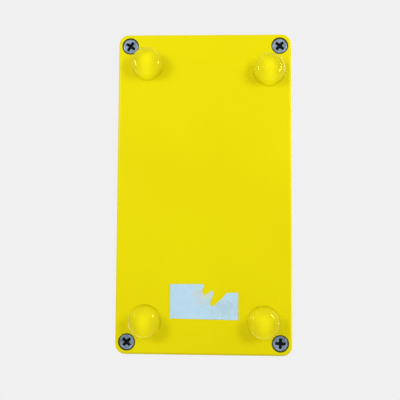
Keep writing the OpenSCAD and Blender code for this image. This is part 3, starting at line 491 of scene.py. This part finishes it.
CLEAN_START, CLEAN_END = 12.0, 4.2      # mm of cut edge before and after the tear
tear_at = np.concatenate([[0], np.cumsum(np.linalg.norm(np.diff(TEAR[:, :2], axis=0), axis=1))])
s = np.linspace(0, 1, 260)
along = s * tear_at[-1]
torn = np.stack([np.interp(along, tear_at, TEAR[:, k]) for k in range(3)], axis=1)
ragged = ease((along - CLEAN_START) / 0.6) * ease((tear_at[-1] - CLEAN_END - along) / 0.6)
torn[:, 0] += ragged * wobble(s, 3, 0.05)
torn[:, 1] += ragged * wobble(s, 8, 0.06)
bottom = np.stack([torn[:, 2], -0.4 * torn[:, 2] / 25.3], axis=1)
t = np.concatenate([np.linspace(0, 0.9, 12), [0.93, 0.96, 0.98, 1.0]])
flat = bottom[None] * (1 - t)[:, None, None] + torn[None, :, :2] * t[:, None, None]
fade = ragged[None] * ease((t - 0.72) / 0.28)[:, None]
thickness = 0.12 - 0.07 * fade
seen = np.dstack([LABEL_CORNER[0] - flat[..., 0], LABEL_CORNER[1] + flat[..., 1], Z_PLATE - thickness])
hidden = np.dstack([seen[..., :2], np.full(seen.shape[:2], Z_PLATE)])
sheet = np.concatenate([seen, hidden[::-1]])
closing = [np.stack([seen[:, k], hidden[:, k]]) for k in (0, -1)]
label = build("blank_label", [grid(sheet, ring_rows=True), *[grid(c) for c in closing]],
              "case", ["paper_label"], sharp=40)

# %% [markdown]
# ## The cast housing
# The box is pressure die-cast: its walls lean in by 1.5 degrees so that it leaves the mould, the roof's
# edge is round, and posts inside take the screws. Each row below is one rounded rectangle, given by the
# half size of the rectangle its corner centres form, the corner radius and the height. The rows run from
# the middle of the roof, down the outside, round the rim and up the inside. The three round holes are true
# cuts, because they have crisp edges on the real box too.

# %% Housing geometry
Z_TOP, Z_ROOF, DRAFT = 44.9, 42.7, math.radians(1.5)      # the roof's two faces, and how much the walls lean
ROOF_ROUND = 3.0                                          # radius of the roof's outer edge
BUTTON, LAMP, SOCKET_Z = (0, -18), (0, 34), 25.6          # places of the three holes
SUNK = 0.05                                               # how far the posts go into the roof


def row(inset, r, z):
    """A rounded rectangle whose corner centres lie a given distance inside the plate's outline."""
    return HALF_X - inset, HALF_Y - inset, r, z


def wrap(rows, steps=8):
    """Rounded rectangles (half x, half y, corner radius, height) in one skin: corner + radius * normal."""
    rows = np.asarray(rows, float)
    corner = np.repeat(np.array([[1, 1], [-1, 1], [-1, -1], [1, -1]]), steps + 1, axis=0)
    turn = np.radians(np.concatenate([np.linspace(0, 90, steps + 1) + 90 * k for k in range(4)]))
    normal = np.stack([np.cos(turn), np.sin(turn)], axis=1)
    xy = corner[None] * rows[:, None, :2] + normal[None] * rows[:, None, 2:3]
    return grid(np.dstack([xy, np.broadcast_to(rows[:, 3:], xy.shape[:2])]), ring_cols=True)


def plug(at, r, low, high, steps=96, lie=False):
    """A closed cylinder for cutting holes, upright or along y."""
    points, faces = lathe([(0, low), (r, low), (r, high), (0, high)], at, steps)
    return (points[:, [0, 2, 1]] if lie else points), faces


def cut(o, plugs, extra, sharp=32):
    """Cut the plugs out of a piece for good, add the extra grids to it, and shade it again."""
    tools = []
    for number, shape in enumerate(plugs):
        tools.append(bpy.data.objects.new(f"plug_{number}", skin("plug", [shape])))
        bpy.context.scene.collection.objects.link(tools[-1])
        step = o.modifiers.new(f"cut_{number}", "BOOLEAN")
        step.operation, step.solver, step.object = "DIFFERENCE", "EXACT", tools[-1]
    bpy.context.view_layer.update()
    done = bpy.data.meshes.new_from_object(o.evaluated_get(bpy.context.evaluated_depsgraph_get()))
    o.modifiers.clear()
    for tool in tools:
        bpy.data.objects.remove(tool)
    work = bmesh.new()
    work.from_mesh(done)
    work.from_mesh(skin("added", extra))
    work.to_mesh(done)
    work.free()
    o.data = done
    shade(done, sharp)
    print(f"{o.name}: {len(done.polygons)} faces after {len(plugs)} cuts")


roof = [(0, 0, 0, Z_TOP), row(4.6, 0, Z_TOP), row(4.1, 0, Z_TOP)]
arc_z = Z_TOP - ROOF_ROUND             # the edge's arc ends where it leans as the wall does
arc_in = ROOF_ROUND * math.cos(DRAFT) + math.tan(DRAFT) * (arc_z + ROOF_ROUND * math.sin(DRAFT) - Z_RIM)
top_edge = [row(arc_in, ROOF_ROUND * math.cos(a), arc_z + ROOF_ROUND * math.sin(a))
            for a in np.linspace(math.pi / 2, DRAFT, 9)]
leans = [(z, math.tan(DRAFT) * (z - Z_RIM)) for z in (41.6, 30, 20, 8.3)]
wall = [row(CORNER_R + 0.1 * inwards, CORNER_R - 0.9 * inwards, z) for z, inwards in leans]
rim = [row(CORNER_R, r, z)
       for r, z in ((3.79, 8.14), (3.73, 8.0), (3.57, Z_RIM), (1.75, Z_RIM), (1.62, 7.95))]
inside = [row(3.81, 1.58, 8.1), row(4.27, 1.21, 41.2), row(4.28, 1.2, 41.5), row(4.28, 0.85, 42.35),
          row(4.28, 0.01, Z_ROOF), row(4.7, 0, Z_ROOF), (0, 0, 0, Z_ROOF)]
shell = wrap([*roof, *top_edge, *wall, *rim, *inside])
post_outline = [(1.8, 8.0), (4.1, 8.0), (3.6, Z_ROOF + SUNK), (1.8, Z_ROOF + SUNK)]
posts = [lathe(post_outline, (x, y), 32, closed=True)
         for x in (-SCREW_X, SCREW_X) for y in (-SCREW_Y, SCREW_Y)]
boss_outline = [(1.3, 33.7), (3.5, 33.7), (3.5, Z_ROOF + SUNK), (1.3, Z_ROOF + SUNK)]
bosses = [lathe(boss_outline, (x, y), 32, closed=True) for x in (-20, 20) for y in (13, 51)]
housing = build("cast_housing", [shell], "case", ["housing"])
holes = [plug(BUTTON, 14.1, 42, 46), plug(LAMP, 7.8, 42, 46), plug((0, SOCKET_Z), 5.65, 54, 62, lie=True)]
cut(housing, holes, [*posts, *bosses])

# %% [markdown]
# ## The button, its ring and the lamp
# All these are turned or moulded round one axis, so an outline of (radius, height) says everything. First
# comes the ring with its well and its threaded barrel. The threads are drawn as rings. A true helix would
# look the same inside the nut and cost a hundred times the faces.

# %% The button's ring and its washer
BARREL_Z, RING_Z, WELL_Z = 33.9, 45.9, 36.4     # the barrel's end, the ring's underside, the spring's seat
BARREL_R = 13.8


def thread(r, depth, low, high, pitch):
    """Crests and roots from low to high, as (radius, height)."""
    z = np.arange(low, high, pitch / 2)
    return np.stack([r - depth * (np.arange(len(z)) % 2), z], axis=1)


ring_outline = profile((6.05, BARREL_Z), (BARREL_R - 0.5, BARREL_Z), (BARREL_R, BARREL_Z + 0.5),
                       thread(BARREL_R, 0.5, 34.8, 44.6, 1.4), (BARREL_R, RING_Z), (27.7, RING_Z), (28, 46.2),
                       bend((26.8, 52.7), 1.2, 0, 90, 9), bend((25.0, 53.5), 0.4, 90, 180, 5), (24.6, 48.8),
                       bend((24.2, 48.8), 0.4, 0, -90, 4), (11.2, 48.4), (10.8, 48.0), (10.8, WELL_Z),
                       (6.05, WELL_Z))
ring = build("button_ring", [lathe(ring_outline, BUTTON, 160, closed=True)], "case", ["bezel"])
washer_outline = [(14.1, Z_TOP), (26.8, Z_TOP), (27, Z_TOP + 0.2), (27, RING_Z - 0.2), (26.8, RING_Z),
                  (14.1, RING_Z)]
washer = build("ring_washer", [lathe(washer_outline, BUTTON, 128, closed=True)],
               "case", ["bezel_gasket"])

# %% [markdown]
# ## The button
# The button is a shallow dome. An arc through its top and its edge has the radius (r^2 + h^2) / 2h, where r
# is half its width and h its rise. A smaller arc rounds the edge, and meets the dome where both lean the
# same way. A bevel modifier would come close, but it can't keep that lean exact.

# %% The domed cap
CAP_R, CAP_RISE, CAP_TOP, EDGE_ROUND = 24.3, 3.4, 57.1, 0.6
CAP_Z, UNDER_R, UNDER_TOP = 51.9, 74.83, 55.1       # the cap's lower rim, and its hollow underside's arc


def arc_radius(r, rise):
    """Radius of the arc that climbs a given rise over half a width r: (r^2 + rise^2) / (2 rise)."""
    return (r**2 + rise**2) / (2 * rise)


dome_r = arc_radius(CAP_R, CAP_RISE)
edge_r = CAP_R - EDGE_ROUND
edge_z = CAP_TOP - dome_r + math.sqrt((dome_r - EDGE_ROUND) ** 2 - edge_r**2)
lean_out = math.degrees(math.acos(edge_r / (dome_r - EDGE_ROUND)))
under_x = np.linspace(21.6, 10.5, 12)
under = np.stack([under_x, UNDER_TOP - UNDER_R + np.sqrt(UNDER_R**2 - under_x**2)], axis=1)
cap_outline = profile(bend((0, CAP_TOP - dome_r), dome_r, 90, lean_out, 36),
                      bend((edge_r, edge_z), EDGE_ROUND, lean_out, 0, 8)[1:],
                      (CAP_R, CAP_Z + 0.3), (CAP_R - 0.3, CAP_Z), (21.62, CAP_Z), under, (10.5, CAP_Z),
                      (2.55, CAP_Z), (2.55, 54.6), (0, 54.6))
cap = build("push_cap", [lathe(cap_outline, BUTTON, 160)], "button", ["button_cap"])

# %% [markdown]
# ## The lamp
# The lamp is a threaded collar with a moulded lens in it. The lens could be a solid dome, but a real one is
# hollow: it takes the light source, and a thin wall cools without sinking in. Its outline starts on the
# axis outside and ends on the axis inside.

# %% Collar, lens and washer of the lamp
COLLAR_R, COLLAR_Z = 7.5, 45.7          # its thread, and its flange's underside
LENS_SEAT_Z, LENS_FOOT_Z = 46.7, 42.0
LENS_R, LENS_RISE, LENS_TOP = 7.15, 3.2, 50.9
HOLLOW_R, HOLLOW_RISE, HOLLOW_TOP = 4.85, 1.6, 48.3
collar_outline = profile((6.1, 35.7), (7.1, 35.7), (COLLAR_R, 36.1), thread(COLLAR_R, 0.35, 36.4, 44.6, 1.0),
                         (COLLAR_R, COLLAR_Z), (9.8, COLLAR_Z), (10, 45.9), (10, 46.85),
                         bend((9.7, 46.9), 0.3, 0, 40, 2), bend((9.05, 47.4), 0.3, 50, 90, 2), (7.4, 47.7),
                         (7.2, 47.5), (7.2, LENS_SEAT_Z), (6.1, LENS_SEAT_Z))
collar = build("lamp_collar", [lathe(collar_outline, LAMP, 96, closed=True)], "case", ["lamp_bezel"])
lens_arc, hollow_arc = arc_radius(LENS_R, LENS_RISE), arc_radius(HOLLOW_R, HOLLOW_RISE)
lens_end = math.degrees(math.acos(LENS_R / lens_arc))
hollow_end = math.degrees(math.acos(HOLLOW_R / hollow_arc))
lens_outline = profile(bend((0, LENS_TOP - lens_arc), lens_arc, 90, lens_end, 24), (LENS_R, LENS_SEAT_Z),
                       (6.05, LENS_SEAT_Z), (6.05, LENS_FOOT_Z), (HOLLOW_R, LENS_FOOT_Z),
                       bend((0, HOLLOW_TOP - hollow_arc), hollow_arc, hollow_end, 90, 16))
lens = build("lamp_lens_red", [lathe(lens_outline, LAMP, 96)], "case", ["lamp_lens"])
lamp_washer_outline = [(7.8, Z_TOP), (9.4, Z_TOP), (9.4, COLLAR_Z), (7.8, COLLAR_Z)]
lamp_washer = build("lamp_washer", [lathe(lamp_washer_outline, LAMP, 96, closed=True)],
                    "case", ["lamp_seal"])

# %% [markdown]
# ## The return spring
# A coil is a circle carried along a helix: p = axis + (R + r cos b) (cos a, sin a), z = path(a) + r sin b.
# The first and the last turn climb little, so that they lie on their seats. When the button goes down, the
# far end moves and the near end stays.

# %% Spring geometry
SPRING_R, WIRE_R, COILS = 9.0, 0.6, 5
wound = np.linspace(0, COILS, COILS * 40 + 1)
low_z, high_z, climb = WELL_Z + WIRE_R, CAP_Z - WIRE_R, 1.8 * WIRE_R
rise = low_z + climb * (np.minimum(1, wound) + np.maximum(0, wound - COILS + 1))
rise += (high_z - low_z - 2 * climb) * np.clip((wound - 1) / (COILS - 2), 0, 1)
b = np.linspace(0, TURN, 12, endpoint=False)
from_axis = SPRING_R + WIRE_R * np.cos(b)
coil = np.dstack([np.outer(np.cos(TURN * wound), from_axis),
                  np.outer(np.sin(TURN * wound), from_axis) + BUTTON[1],
                  rise[:, None] + WIRE_R * np.sin(b)])
middle = coil.mean(axis=1, keepdims=True)
coil = np.concatenate([np.broadcast_to(middle[:1], coil[:1].shape), coil,
                       np.broadcast_to(middle[-1:], coil[:1].shape)])
spring = build("push_spring", [grid(coil, ring_cols=True)], "case", ["return_spring"])
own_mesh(spring)

# %% [markdown]
# ## How a finish is made
# Each finish is one Principled shader. What is the same all over the surface is set on its own sockets, and
# what varies comes from noise on Object coordinates, so that it keeps its scale on every piece: a scale of
# 1000 is about a millimetre. Pictures wrapped round the pieces would need unwrapping, and they blur close
# up.

# %% Helpers that build finishes
def finish(name, **values):
    """A Principled material. Values set its sockets: base_color, roughness and so on."""
    m = bpy.data.materials.new(name)
    m.use_nodes = True
    sockets = {k.name.lower().replace(" ", "_"): k for k in m.node_tree.nodes["Principled BSDF"].inputs}
    for key, value in values.items():
        sockets[key].default_value = (*value, 1.0) if key in ("base_color", "specular_tint") else value
    return m


def node(m, kind, inputs=None, **settings):
    """A shader node. An input that is a socket is linked, and any other is a plain value."""
    n = m.node_tree.nodes.new("ShaderNode" + kind)
    for key, value in settings.items():
        setattr(n, key, value)
    for key, value in (inputs or {}).items():
        if isinstance(value, bpy.types.NodeSocket):
            m.node_tree.links.new(value, n.inputs[key])
        else:
            n.inputs[key].default_value = value
    return n


def grain(m, scale, detail=2.0, stretch=(1, 1, 1), centre=(0, 0, 0), low=0.3, high=0.7):
    """Noise from 0 to 1 on Object coordinates; stretch above 1 squeezes it along that axis."""
    where = node(m, "TexCoord").outputs["Object"]
    moved = node(m, "Mapping", {"Vector": where, "Location": centre, "Scale": stretch}, vector_type="TEXTURE"
                 if centre != (0, 0, 0) else "POINT")
    n = node(m, "TexNoise", {"Vector": moved.outputs[0], "Scale": scale, "Detail": detail})
    return spread(m, n.outputs[0], 0, 1, low, high)


def spread(m, value, low, high, from_low=0.0, from_high=1.0):
    """Stretch a value from one range to another, held at both ends."""
    inputs = {"Value": value, "From Min": from_low, "From Max": from_high, "To Min": low, "To Max": high}
    return node(m, "MapRange", inputs).outputs[0]


def between(m, factor, first, second):
    """Colour from first to second as the factor goes from 0 to 1."""
    n = node(m, "Mix", {"Factor": factor}, data_type="RGBA")
    for key, colour in (("A_Color", first), ("B_Color", second)):
        socket = next(k for k in n.inputs if k.identifier == key)
        if isinstance(colour, bpy.types.NodeSocket):
            m.node_tree.links.new(colour, socket)
        else:
            socket.default_value = (*colour, 1.0)
    return next(k for k in n.outputs if k.identifier == "Result_Color")


def wire(m, **links):
    """Link values to the Principled sockets: base_color, roughness, normal."""
    shader = m.node_tree.nodes["Principled BSDF"]
    sockets = {k.name.lower().replace(" ", "_"): k for k in shader.inputs}
    for key, value in links.items():
        m.node_tree.links.new(value, sockets[key])
    return m


def bump(m, height, depth_mm, strength=1.0, under=None):
    """Bump of a height from 0 to 1 whose full depth is in mm, laid over another bump if there is one."""
    inputs = {"Height": height, "Distance": depth_mm * MM, "Strength": strength}
    if under is not None:
        inputs["Normal"] = under
    return node(m, "Bump", inputs).outputs[0]


def paint(m, *pieces):
    """Give the pieces this material and nothing else."""
    for o in pieces:
        o.data.materials.clear()
        o.data.materials.append(m)
    print(m.name, "on", ", ".join(o.name for o in pieces))


# %% [markdown]
# ## Yellow powder coat
# Powder is sprayed dry and melted in an oven. It flows to a thick film with a faint orange peel of about a
# millimetre and fine pinholes, and it pulls thin at sharp edges. Two noises give the peel and the fine
# texture, and a third, much larger, lets the colour drift a little, as it does over a batch.

# %% Powder coat
coat = finish("yellow_powder_coat", base_color=(0.81, 0.70, 0.0005), roughness=0.33, specular_ior_level=0.25,
              specular_tint=(1.0, 0.95, 0.3))
drift = grain(coat, 22, 2)
speck = grain(coat, 2600, 1, low=0.62, high=0.72)
tone = between(coat, drift, (0.81, 0.697, 0.0004), (0.85, 0.745, 0.0006))
tone = between(coat, spread(coat, speck, 0, 0.35), tone, (0.74, 0.62, 0.0004))
# Painted shade: the plate's holes and countersinks, as stored in mark, are painted near black.
countersink_shade = node(coat, "Attribute", attribute_name="mark").outputs["Fac"]
tone = between(coat, countersink_shade, tone, (0.055, 0.05, 0.004))
peel = bump(coat, grain(coat, 950, 1.5, low=0.2, high=0.8), 0.012, 0.5)
fine = bump(coat, grain(coat, 3800, 1, low=0.2, high=0.8), 0.003, 0.4, under=peel)
wire(coat, base_color=tone, roughness=spread(coat, grain(coat, 60, 3), 0.28, 0.38), normal=fine)
paint(coat, plate, housing)

# %% [markdown]
# ## Zinc on the screws
# Blue-passivated zinc is a cool grey with cloudy patches. The cross is painted near black as painted shade,
# and the head's edge dark too. How deep a point lies in the cross was stored on the mesh as the attribute
# mark.

# %% Zinc finish
zinc = finish("blue_zinc", base_color=(0.22, 0.29, 0.38), metallic=1.0, roughness=0.3)
depth = node(zinc, "Attribute", attribute_name="mark").outputs["Fac"]
cloud = grain(zinc, 420, 3)
tone = between(zinc, cloud, (0.12, 0.165, 0.225), (0.30, 0.385, 0.50))
# Painted shade: the cross, by its depth, and the head's edge are painted near black.
tone = between(zinc, depth, tone, (0.010, 0.011, 0.012))
pits = bump(zinc, grain(zinc, 3000, 2), 0.004, 0.4)
wire(zinc, base_color=tone, roughness=spread(zinc, cloud, 0.36, 0.5),
     normal=bump(zinc, grain(zinc, 380, 2, low=0.2, high=0.8), 0.06, 0.5, under=pits))
paint(zinc, screws)

# %% [markdown]
# ## Clear rubber
# Polyurethane is clear with a breath of yellow. Its round shoulder is tinted darker: painted shade for the
# shaded paint seen through it, and for the thicker rubber there. A real dome bends the lamps' light and
# gathers it under its middle. A renderer can follow that only with much noise, so a lamp's ray goes straight
# on through a tinted film instead. The film is bright where a ray leaves the rubber from the paint under the
# dome's middle, and dim low down the side. A ray that also has to enter the rubber is dimmed twice, and so
# the foot keeps its shadow. A slight ripple is left from the mould.

# %% Clear rubber
clear = finish("clear_polyurethane", base_color=(1.0, 0.985, 0.7), roughness=0.0, ior=1.42,
               specular_tint=(1.0, 0.96, 0.2), transmission_weight=1.0)
surface = node(clear, "NewGeometry").outputs
facing = node(clear, "SeparateXYZ", {0: surface["Normal"]}).outputs["Z"]
upright = node(clear, "Math", {0: facing}, operation="ABSOLUTE").outputs[0]
shoulder = spread(clear, upright, 0, 1, 0.25, 0.95)
body = between(clear, grain(clear, 500, 3), (1.0, 0.985, 0.62), (1.0, 0.99, 0.72))
ripple = bump(clear, grain(clear, 330, 1.5, low=0.2, high=0.8), 0.16, 1.0)
# Painted shade: the shoulder is tinted darker than the middle.
wire(clear, base_color=between(clear, shoulder, (0.84, 0.79, 0.25), body), normal=ripple)

height = node(clear, "SeparateXYZ", {0: node(clear, "TexCoord").outputs["Object"]}).outputs["Z"]
low_ramp = spread(clear, height, 0, 1, 0, 0.7 * MM)
high_ramp = spread(clear, height, 1, 0, 1.2 * MM, 4.7 * MM)
gathered = node(clear, "Math", {0: low_ramp, 1: high_ramp}, operation="MULTIPLY").outputs[0]
leaving = between(clear, gathered, (0.32, 0.31, 0.06), (0.94, 1.0, 0.15))
entering = between(clear, spread(clear, upright, 0, 1, 0.9, 1.0), (0.88, 0.86, 0.5), (1.0, 1.0, 0.8))
through = between(clear, surface["Backfacing"], entering, leaving)
film = node(clear, "BsdfTransparent", {"Color": through}).outputs[0]
lamp_ray = node(clear, "LightPath").outputs["Is Shadow Ray"]
bending = clear.node_tree.nodes["Principled BSDF"].outputs[0]
glass = node(clear, "MixShader", {0: lamp_ray, 1: bending, 2: film})
clear.node_tree.links.new(glass.outputs[0], clear.node_tree.nodes["Material Output"].inputs[0])
paint(clear, *feet)

# %% [markdown]
# ## Torn paper
# The paper is thin and a little blue next to the paint. Where its top layer tore away, the rest is half
# see-through, and the paint tints it. The patches could be painted by hand as a picture. Ovals with a noisy
# border need no picture, and they stay sharp close up.

# %% Paper
def spot(m, x, y, half_x, half_y, ragged=0.5):
    """A ragged oval patch on a level face: 1 in its middle, 0 outside. Places and sizes are in mm."""
    where = node(m, "TexCoord").outputs["Object"]
    oval = node(m, "Mapping", {"Vector": where, "Location": (x * MM, y * MM, 0),
                               "Scale": (half_x * MM, half_y * MM, 1)}, vector_type="TEXTURE").outputs[0]
    reach = node(m, "VectorMath", {0: oval}, operation="LENGTH").outputs["Value"]
    edge = node(m, "Math", {0: spread(m, grain(m, 900, 3), -ragged, ragged), 1: reach}, operation="ADD")
    return spread(m, edge.outputs[0], 1, 0, 0.75, 1.05)


paper = finish("label_paper", base_color=(0.5, 0.73, 0.88), roughness=0.85, specular_ior_level=0.3)
mottle = grain(paper, 420, 4, low=0.25, high=0.75)
tone = between(paper, mottle, (0.465, 0.705, 0.865), (0.535, 0.765, 0.905))
soiled = node(paper, "Math", {0: spot(paper, -7.5, -43.2, 5.6, 3.4, 0.7), 1: spread(paper, mottle, 0, 0.7)},
              operation="MULTIPLY").outputs[0]
tone = between(paper, soiled, tone, (0.42, 0.56, 0.58))
split = spot(paper, 0.6, -38.9, 3.6, 3.3)
tone = between(paper, spread(paper, split, 0, 0.55), tone, (0.62, 0.66, 0.60))
bare = spot(paper, -1.4, -37.6, 1.7, 2.2, 0.7)
tone = between(paper, spread(paper, bare, 0, 0.6), tone, (0.74, 0.72, 0.30))
fibre = grain(paper, 1500, 3, stretch=(1, 0.25, 1))
wire(paper, base_color=tone, normal=bump(paper, fibre, 0.02, 0.5))
paint(paper, label)

# %% [markdown]
# ## Finishes of the working parts
# Moulded, plated and drawn parts differ in colour, gloss and grain, and in little else. One recipe covers
# them all: two near colours mixed by a cloudy noise, a roughness that follows another, and a fine bump. A
# recipe for each would be longer, and would hide how near they are.

# %% Plastics, rubber and metal
def mottled(name, first, second, scale, rough, grit=2500, grit_mm=0.004, **constants):
    """Two near colours in clouds of a given scale, a varying roughness, and a fine bump of a given depth."""
    m = finish(name, base_color=first, **constants)
    cloud = grain(m, scale, 3)
    fine = bump(m, grain(m, grit, 2, low=0.25, high=0.75), grit_mm, 0.5)
    return wire(m, base_color=between(m, cloud, first, second), normal=fine,
                roughness=spread(m, grain(m, scale * 0.7, 2), *rough))


rubber = mottled("black_rubber", (0.012, 0.012, 0.012), (0.030, 0.030, 0.032), 250, (0.6, 0.8))
black = mottled("black_ring_coat", (0.010, 0.010, 0.011), (0.021, 0.021, 0.023), 120, (0.38, 0.52), 1500,
                0.012)
steel = mottled("plated_steel", (0.44, 0.44, 0.42), (0.56, 0.56, 0.54), 220, (0.28, 0.42), metallic=1.0)
ground = mottled("ground_steel", (0.46, 0.46, 0.47), (0.56, 0.56, 0.57), 150, (0.18, 0.3), 5000, 0.002,
                 metallic=1.0)
drawn = mottled("drawn_spring_steel", (0.34, 0.34, 0.36), (0.46, 0.46, 0.47), 300, (0.22, 0.36), metallic=1.0)
bronze = mottled("sintered_bronze", (0.40, 0.24, 0.10), (0.52, 0.32, 0.14), 400, (0.4, 0.6), 2200, 0.01,
                 metallic=1.0)
bracket = mottled("plated_sheet", (0.42, 0.45, 0.50), (0.55, 0.57, 0.60), 140, (0.25, 0.4), metallic=1.0)
brass = mottled("tinned_brass", (0.58, 0.50, 0.30), (0.70, 0.62, 0.42), 350, (0.22, 0.38), metallic=1.0)
moulded = mottled("moulded_black", (0.012, 0.013, 0.015), (0.028, 0.030, 0.034), 300, (0.45, 0.6), 1800,
                  0.008)
pin = mottled("red_moulding", (0.42, 0.018, 0.012), (0.54, 0.030, 0.020), 400, (0.3, 0.42))
sleeve = mottled("blue_sleeve", (0.012, 0.022, 0.09), (0.020, 0.034, 0.13), 300, (0.25, 0.35))
lacquer = mottled("tan_lacquer", (0.48, 0.35, 0.18), (0.62, 0.47, 0.27), 500, (0.35, 0.5))
resin = mottled("chip_resin", (0.010, 0.010, 0.010), (0.024, 0.024, 0.025), 600, (0.5, 0.65), 3200, 0.006)
nylon = mottled("natural_nylon", (0.72, 0.69, 0.58), (0.80, 0.78, 0.69), 250, (0.35, 0.5))
insulation = mottled("red_insulation", (0.46, 0.016, 0.014), (0.58, 0.030, 0.024), 200, (0.3, 0.42))
board = mottled("green_laminate", (0.008, 0.115, 0.040), (0.016, 0.185, 0.070), 180, (0.2, 0.32), 900, 0.01)
epoxy = mottled("clear_epoxy", (0.88, 0.87, 0.84), (0.95, 0.94, 0.92), 300, (0.1, 0.2),
                transmission_weight=0.7, ior=1.5)
red = mottled("red_lens", (0.62, 0.006, 0.004), (0.74, 0.012, 0.008), 160, (0.08, 0.16), 700, 0.004,
              transmission_weight=0.55, ior=1.55)

for m, pieces in ((rubber, [washer, lamp_washer]), (black, [ring, collar]), (red, [lens]), (drawn, [spring])):
    paint(m, *pieces)

# %% [markdown]
# ## Turned aluminium
# The tool leaves fine rings round the lathe's axis. A noise that reads only the distance from that axis is
# the same all the way round, and so it draws rings. A wave texture draws rings too, but all of one width.

# %% Turned aluminium
aluminium = finish("turned_aluminium", base_color=(0.33, 0.335, 0.34), metallic=1.0, roughness=0.4,
                   specular_tint=(0.6, 0.6, 0.61))
where = node(aluminium, "TexCoord").outputs["Object"]
offset = node(aluminium, "VectorMath", {0: where, 1: (0, BUTTON[1] * MM, 0)}, operation="SUBTRACT").outputs[0]
flattened = node(aluminium, "VectorMath", {0: offset, 1: (1, 1, 0)}, operation="MULTIPLY").outputs[0]
radius = node(aluminium, "VectorMath", {0: flattened}, operation="LENGTH").outputs["Value"]
ring_at = node(aluminium, "CombineXYZ", {"X": radius}).outputs[0]
rings = [node(aluminium, "TexNoise", {"Vector": ring_at, "Scale": scale, "Detail": 2.0}).outputs[0]
         for scale in (700, 3200)]
coarse, fine = [spread(aluminium, r, 0, 1, 0.3, 0.7) for r in rings]
tone = between(aluminium, coarse, (0.28, 0.285, 0.295), (0.38, 0.385, 0.39))
turned = bump(aluminium, fine, 0.006, 0.3, under=bump(aluminium, coarse, 0.003, 0.2))
wire(aluminium, base_color=tone, roughness=spread(aluminium, coarse, 0.36, 0.48), normal=turned)
paint(aluminium, cap)

# %% [markdown]
# ## The pieces inside
# The switch, the board and the rest keep their CAD shapes, which are right as they are. They could be left
# plain, because the closed box hides them. They get their finishes all the same, for whoever opens it.

# %% Finishes on the CAD's own pieces
inner = {
    rubber: ("lid_gasket", "stem_seal"), ground: ("button_stem", "stem_clip", "lever_pin"),
    bronze: ("stem_bush",), steel: ("bezel_nut", "lamp_nut", "switch_screws", "switch_nuts", "board_screws"),
    bracket: ("switch_bracket",), moulded: ("switch_body", "socket_body"), drawn: ("switch_lever",),
    pin: ("switch_plunger",), brass: ("switch_terminals", "socket_contacts"), epoxy: ("led",),
    board: ("circuit_board",), sleeve: ("board_capacitor",), lacquer: ("board_resistors",),
    resin: ("board_chip",), nylon: ("wire_header", "wire_plug"), insulation: ("switch_wires",)}
for m, names in inner.items():
    paint(m, *[frame["nodes"][name] for name in names])
shown = [n for n, o in frame["nodes"].items() if not o.hide_render]
print("CAD nodes that show as they are:", len(shown), "without a finish:",
      [n for n in shown if not frame["nodes"][n].data.materials[0].node_tree.nodes.get("Noise Texture")])

# %% [markdown]
# ## The floor
# The box stands on a pale floor that fades into the backdrop. Seen from below it must not hide the feet, so
# its underside is clear, and the lamps and the room shine through it onto the box's bottom. Light that has
# already bounced off something finds it solid, so that the floor under the box lies in shade, and so do the
# lamps' rays away from the box, so that the walls are lit from above only.

# %% Floor
FLOOR_Z, OPEN_RIM = -0.02, 8.0               # mm; the opening reaches this far past the plate
FADE_START, FADE_END = 0.25, 1.3             # m from the box


def make_floor():
    """A disc under the feet: rows are circles of growing radius."""
    radius = np.array([0.001, 60, 120, 240, 480, 900, 1600, 2600])
    points, faces = lathe(np.stack([radius, np.full(8, FLOOR_Z)], axis=1), steps=64)
    mesh = bpy.data.meshes.new("floor")
    mesh.from_pydata((points * MM).tolist(), [], faces.tolist())
    o = bpy.data.objects.new("floor", mesh)
    bpy.context.scene.collection.objects.link(o)
    o.visible_transmission = False
    m = finish("pale_floor", base_color=(0.80, 0.81, 0.82), roughness=0.9, specular_ior_level=0.1)
    where = node(m, "TexCoord").outputs["Object"]
    far = spread(m, node(m, "VectorMath", {0: where}, operation="LENGTH").outputs["Value"], 0, 1,
                 FADE_START, FADE_END)
    path = node(m, "LightPath").outputs

    def maths(operation, first, second):
        """One step of sums on two values."""
        return node(m, "Math", {0: first, 1: second}, operation=operation).outputs[0]

    x, y, _ = node(m, "SeparateXYZ", {0: where}).outputs
    past = [maths("SUBTRACT", maths("ABSOLUTE", v, 0.0), half * MM) for v, half in ((x, HALF_X), (y, HALF_Y))]
    outside = maths("GREATER_THAN", maths("MAXIMUM", *past), OPEN_RIM * MM)
    direct = maths("MULTIPLY", outside, maths("MAXIMUM", path["Is Shadow Ray"], path["Is Glossy Ray"]))
    late = maths("GREATER_THAN", maths("ADD", path["Diffuse Depth"], path["Is Shadow Ray"]), 1.5)
    there = maths("MAXIMUM", maths("MAXIMUM", late, direct), path["Is Camera Ray"])
    unseen = maths("MAXIMUM", far, node(m, "NewGeometry").outputs["Backfacing"])
    hidden = maths("MAXIMUM", unseen, maths("SUBTRACT", 1.0, there))
    mix = node(m, "MixShader", {0: hidden, 1: m.node_tree.nodes["Principled BSDF"].outputs[0],
                                2: node(m, "BsdfTransparent").outputs[0]})
    m.node_tree.links.new(mix.outputs[0], m.node_tree.nodes["Material Output"].inputs[0])
    paint(m, o)
    return o


floor = make_floor()
print("floor faces:", len(floor.data.polygons), "facing up:", floor.data.polygons[10].normal.z > 0)
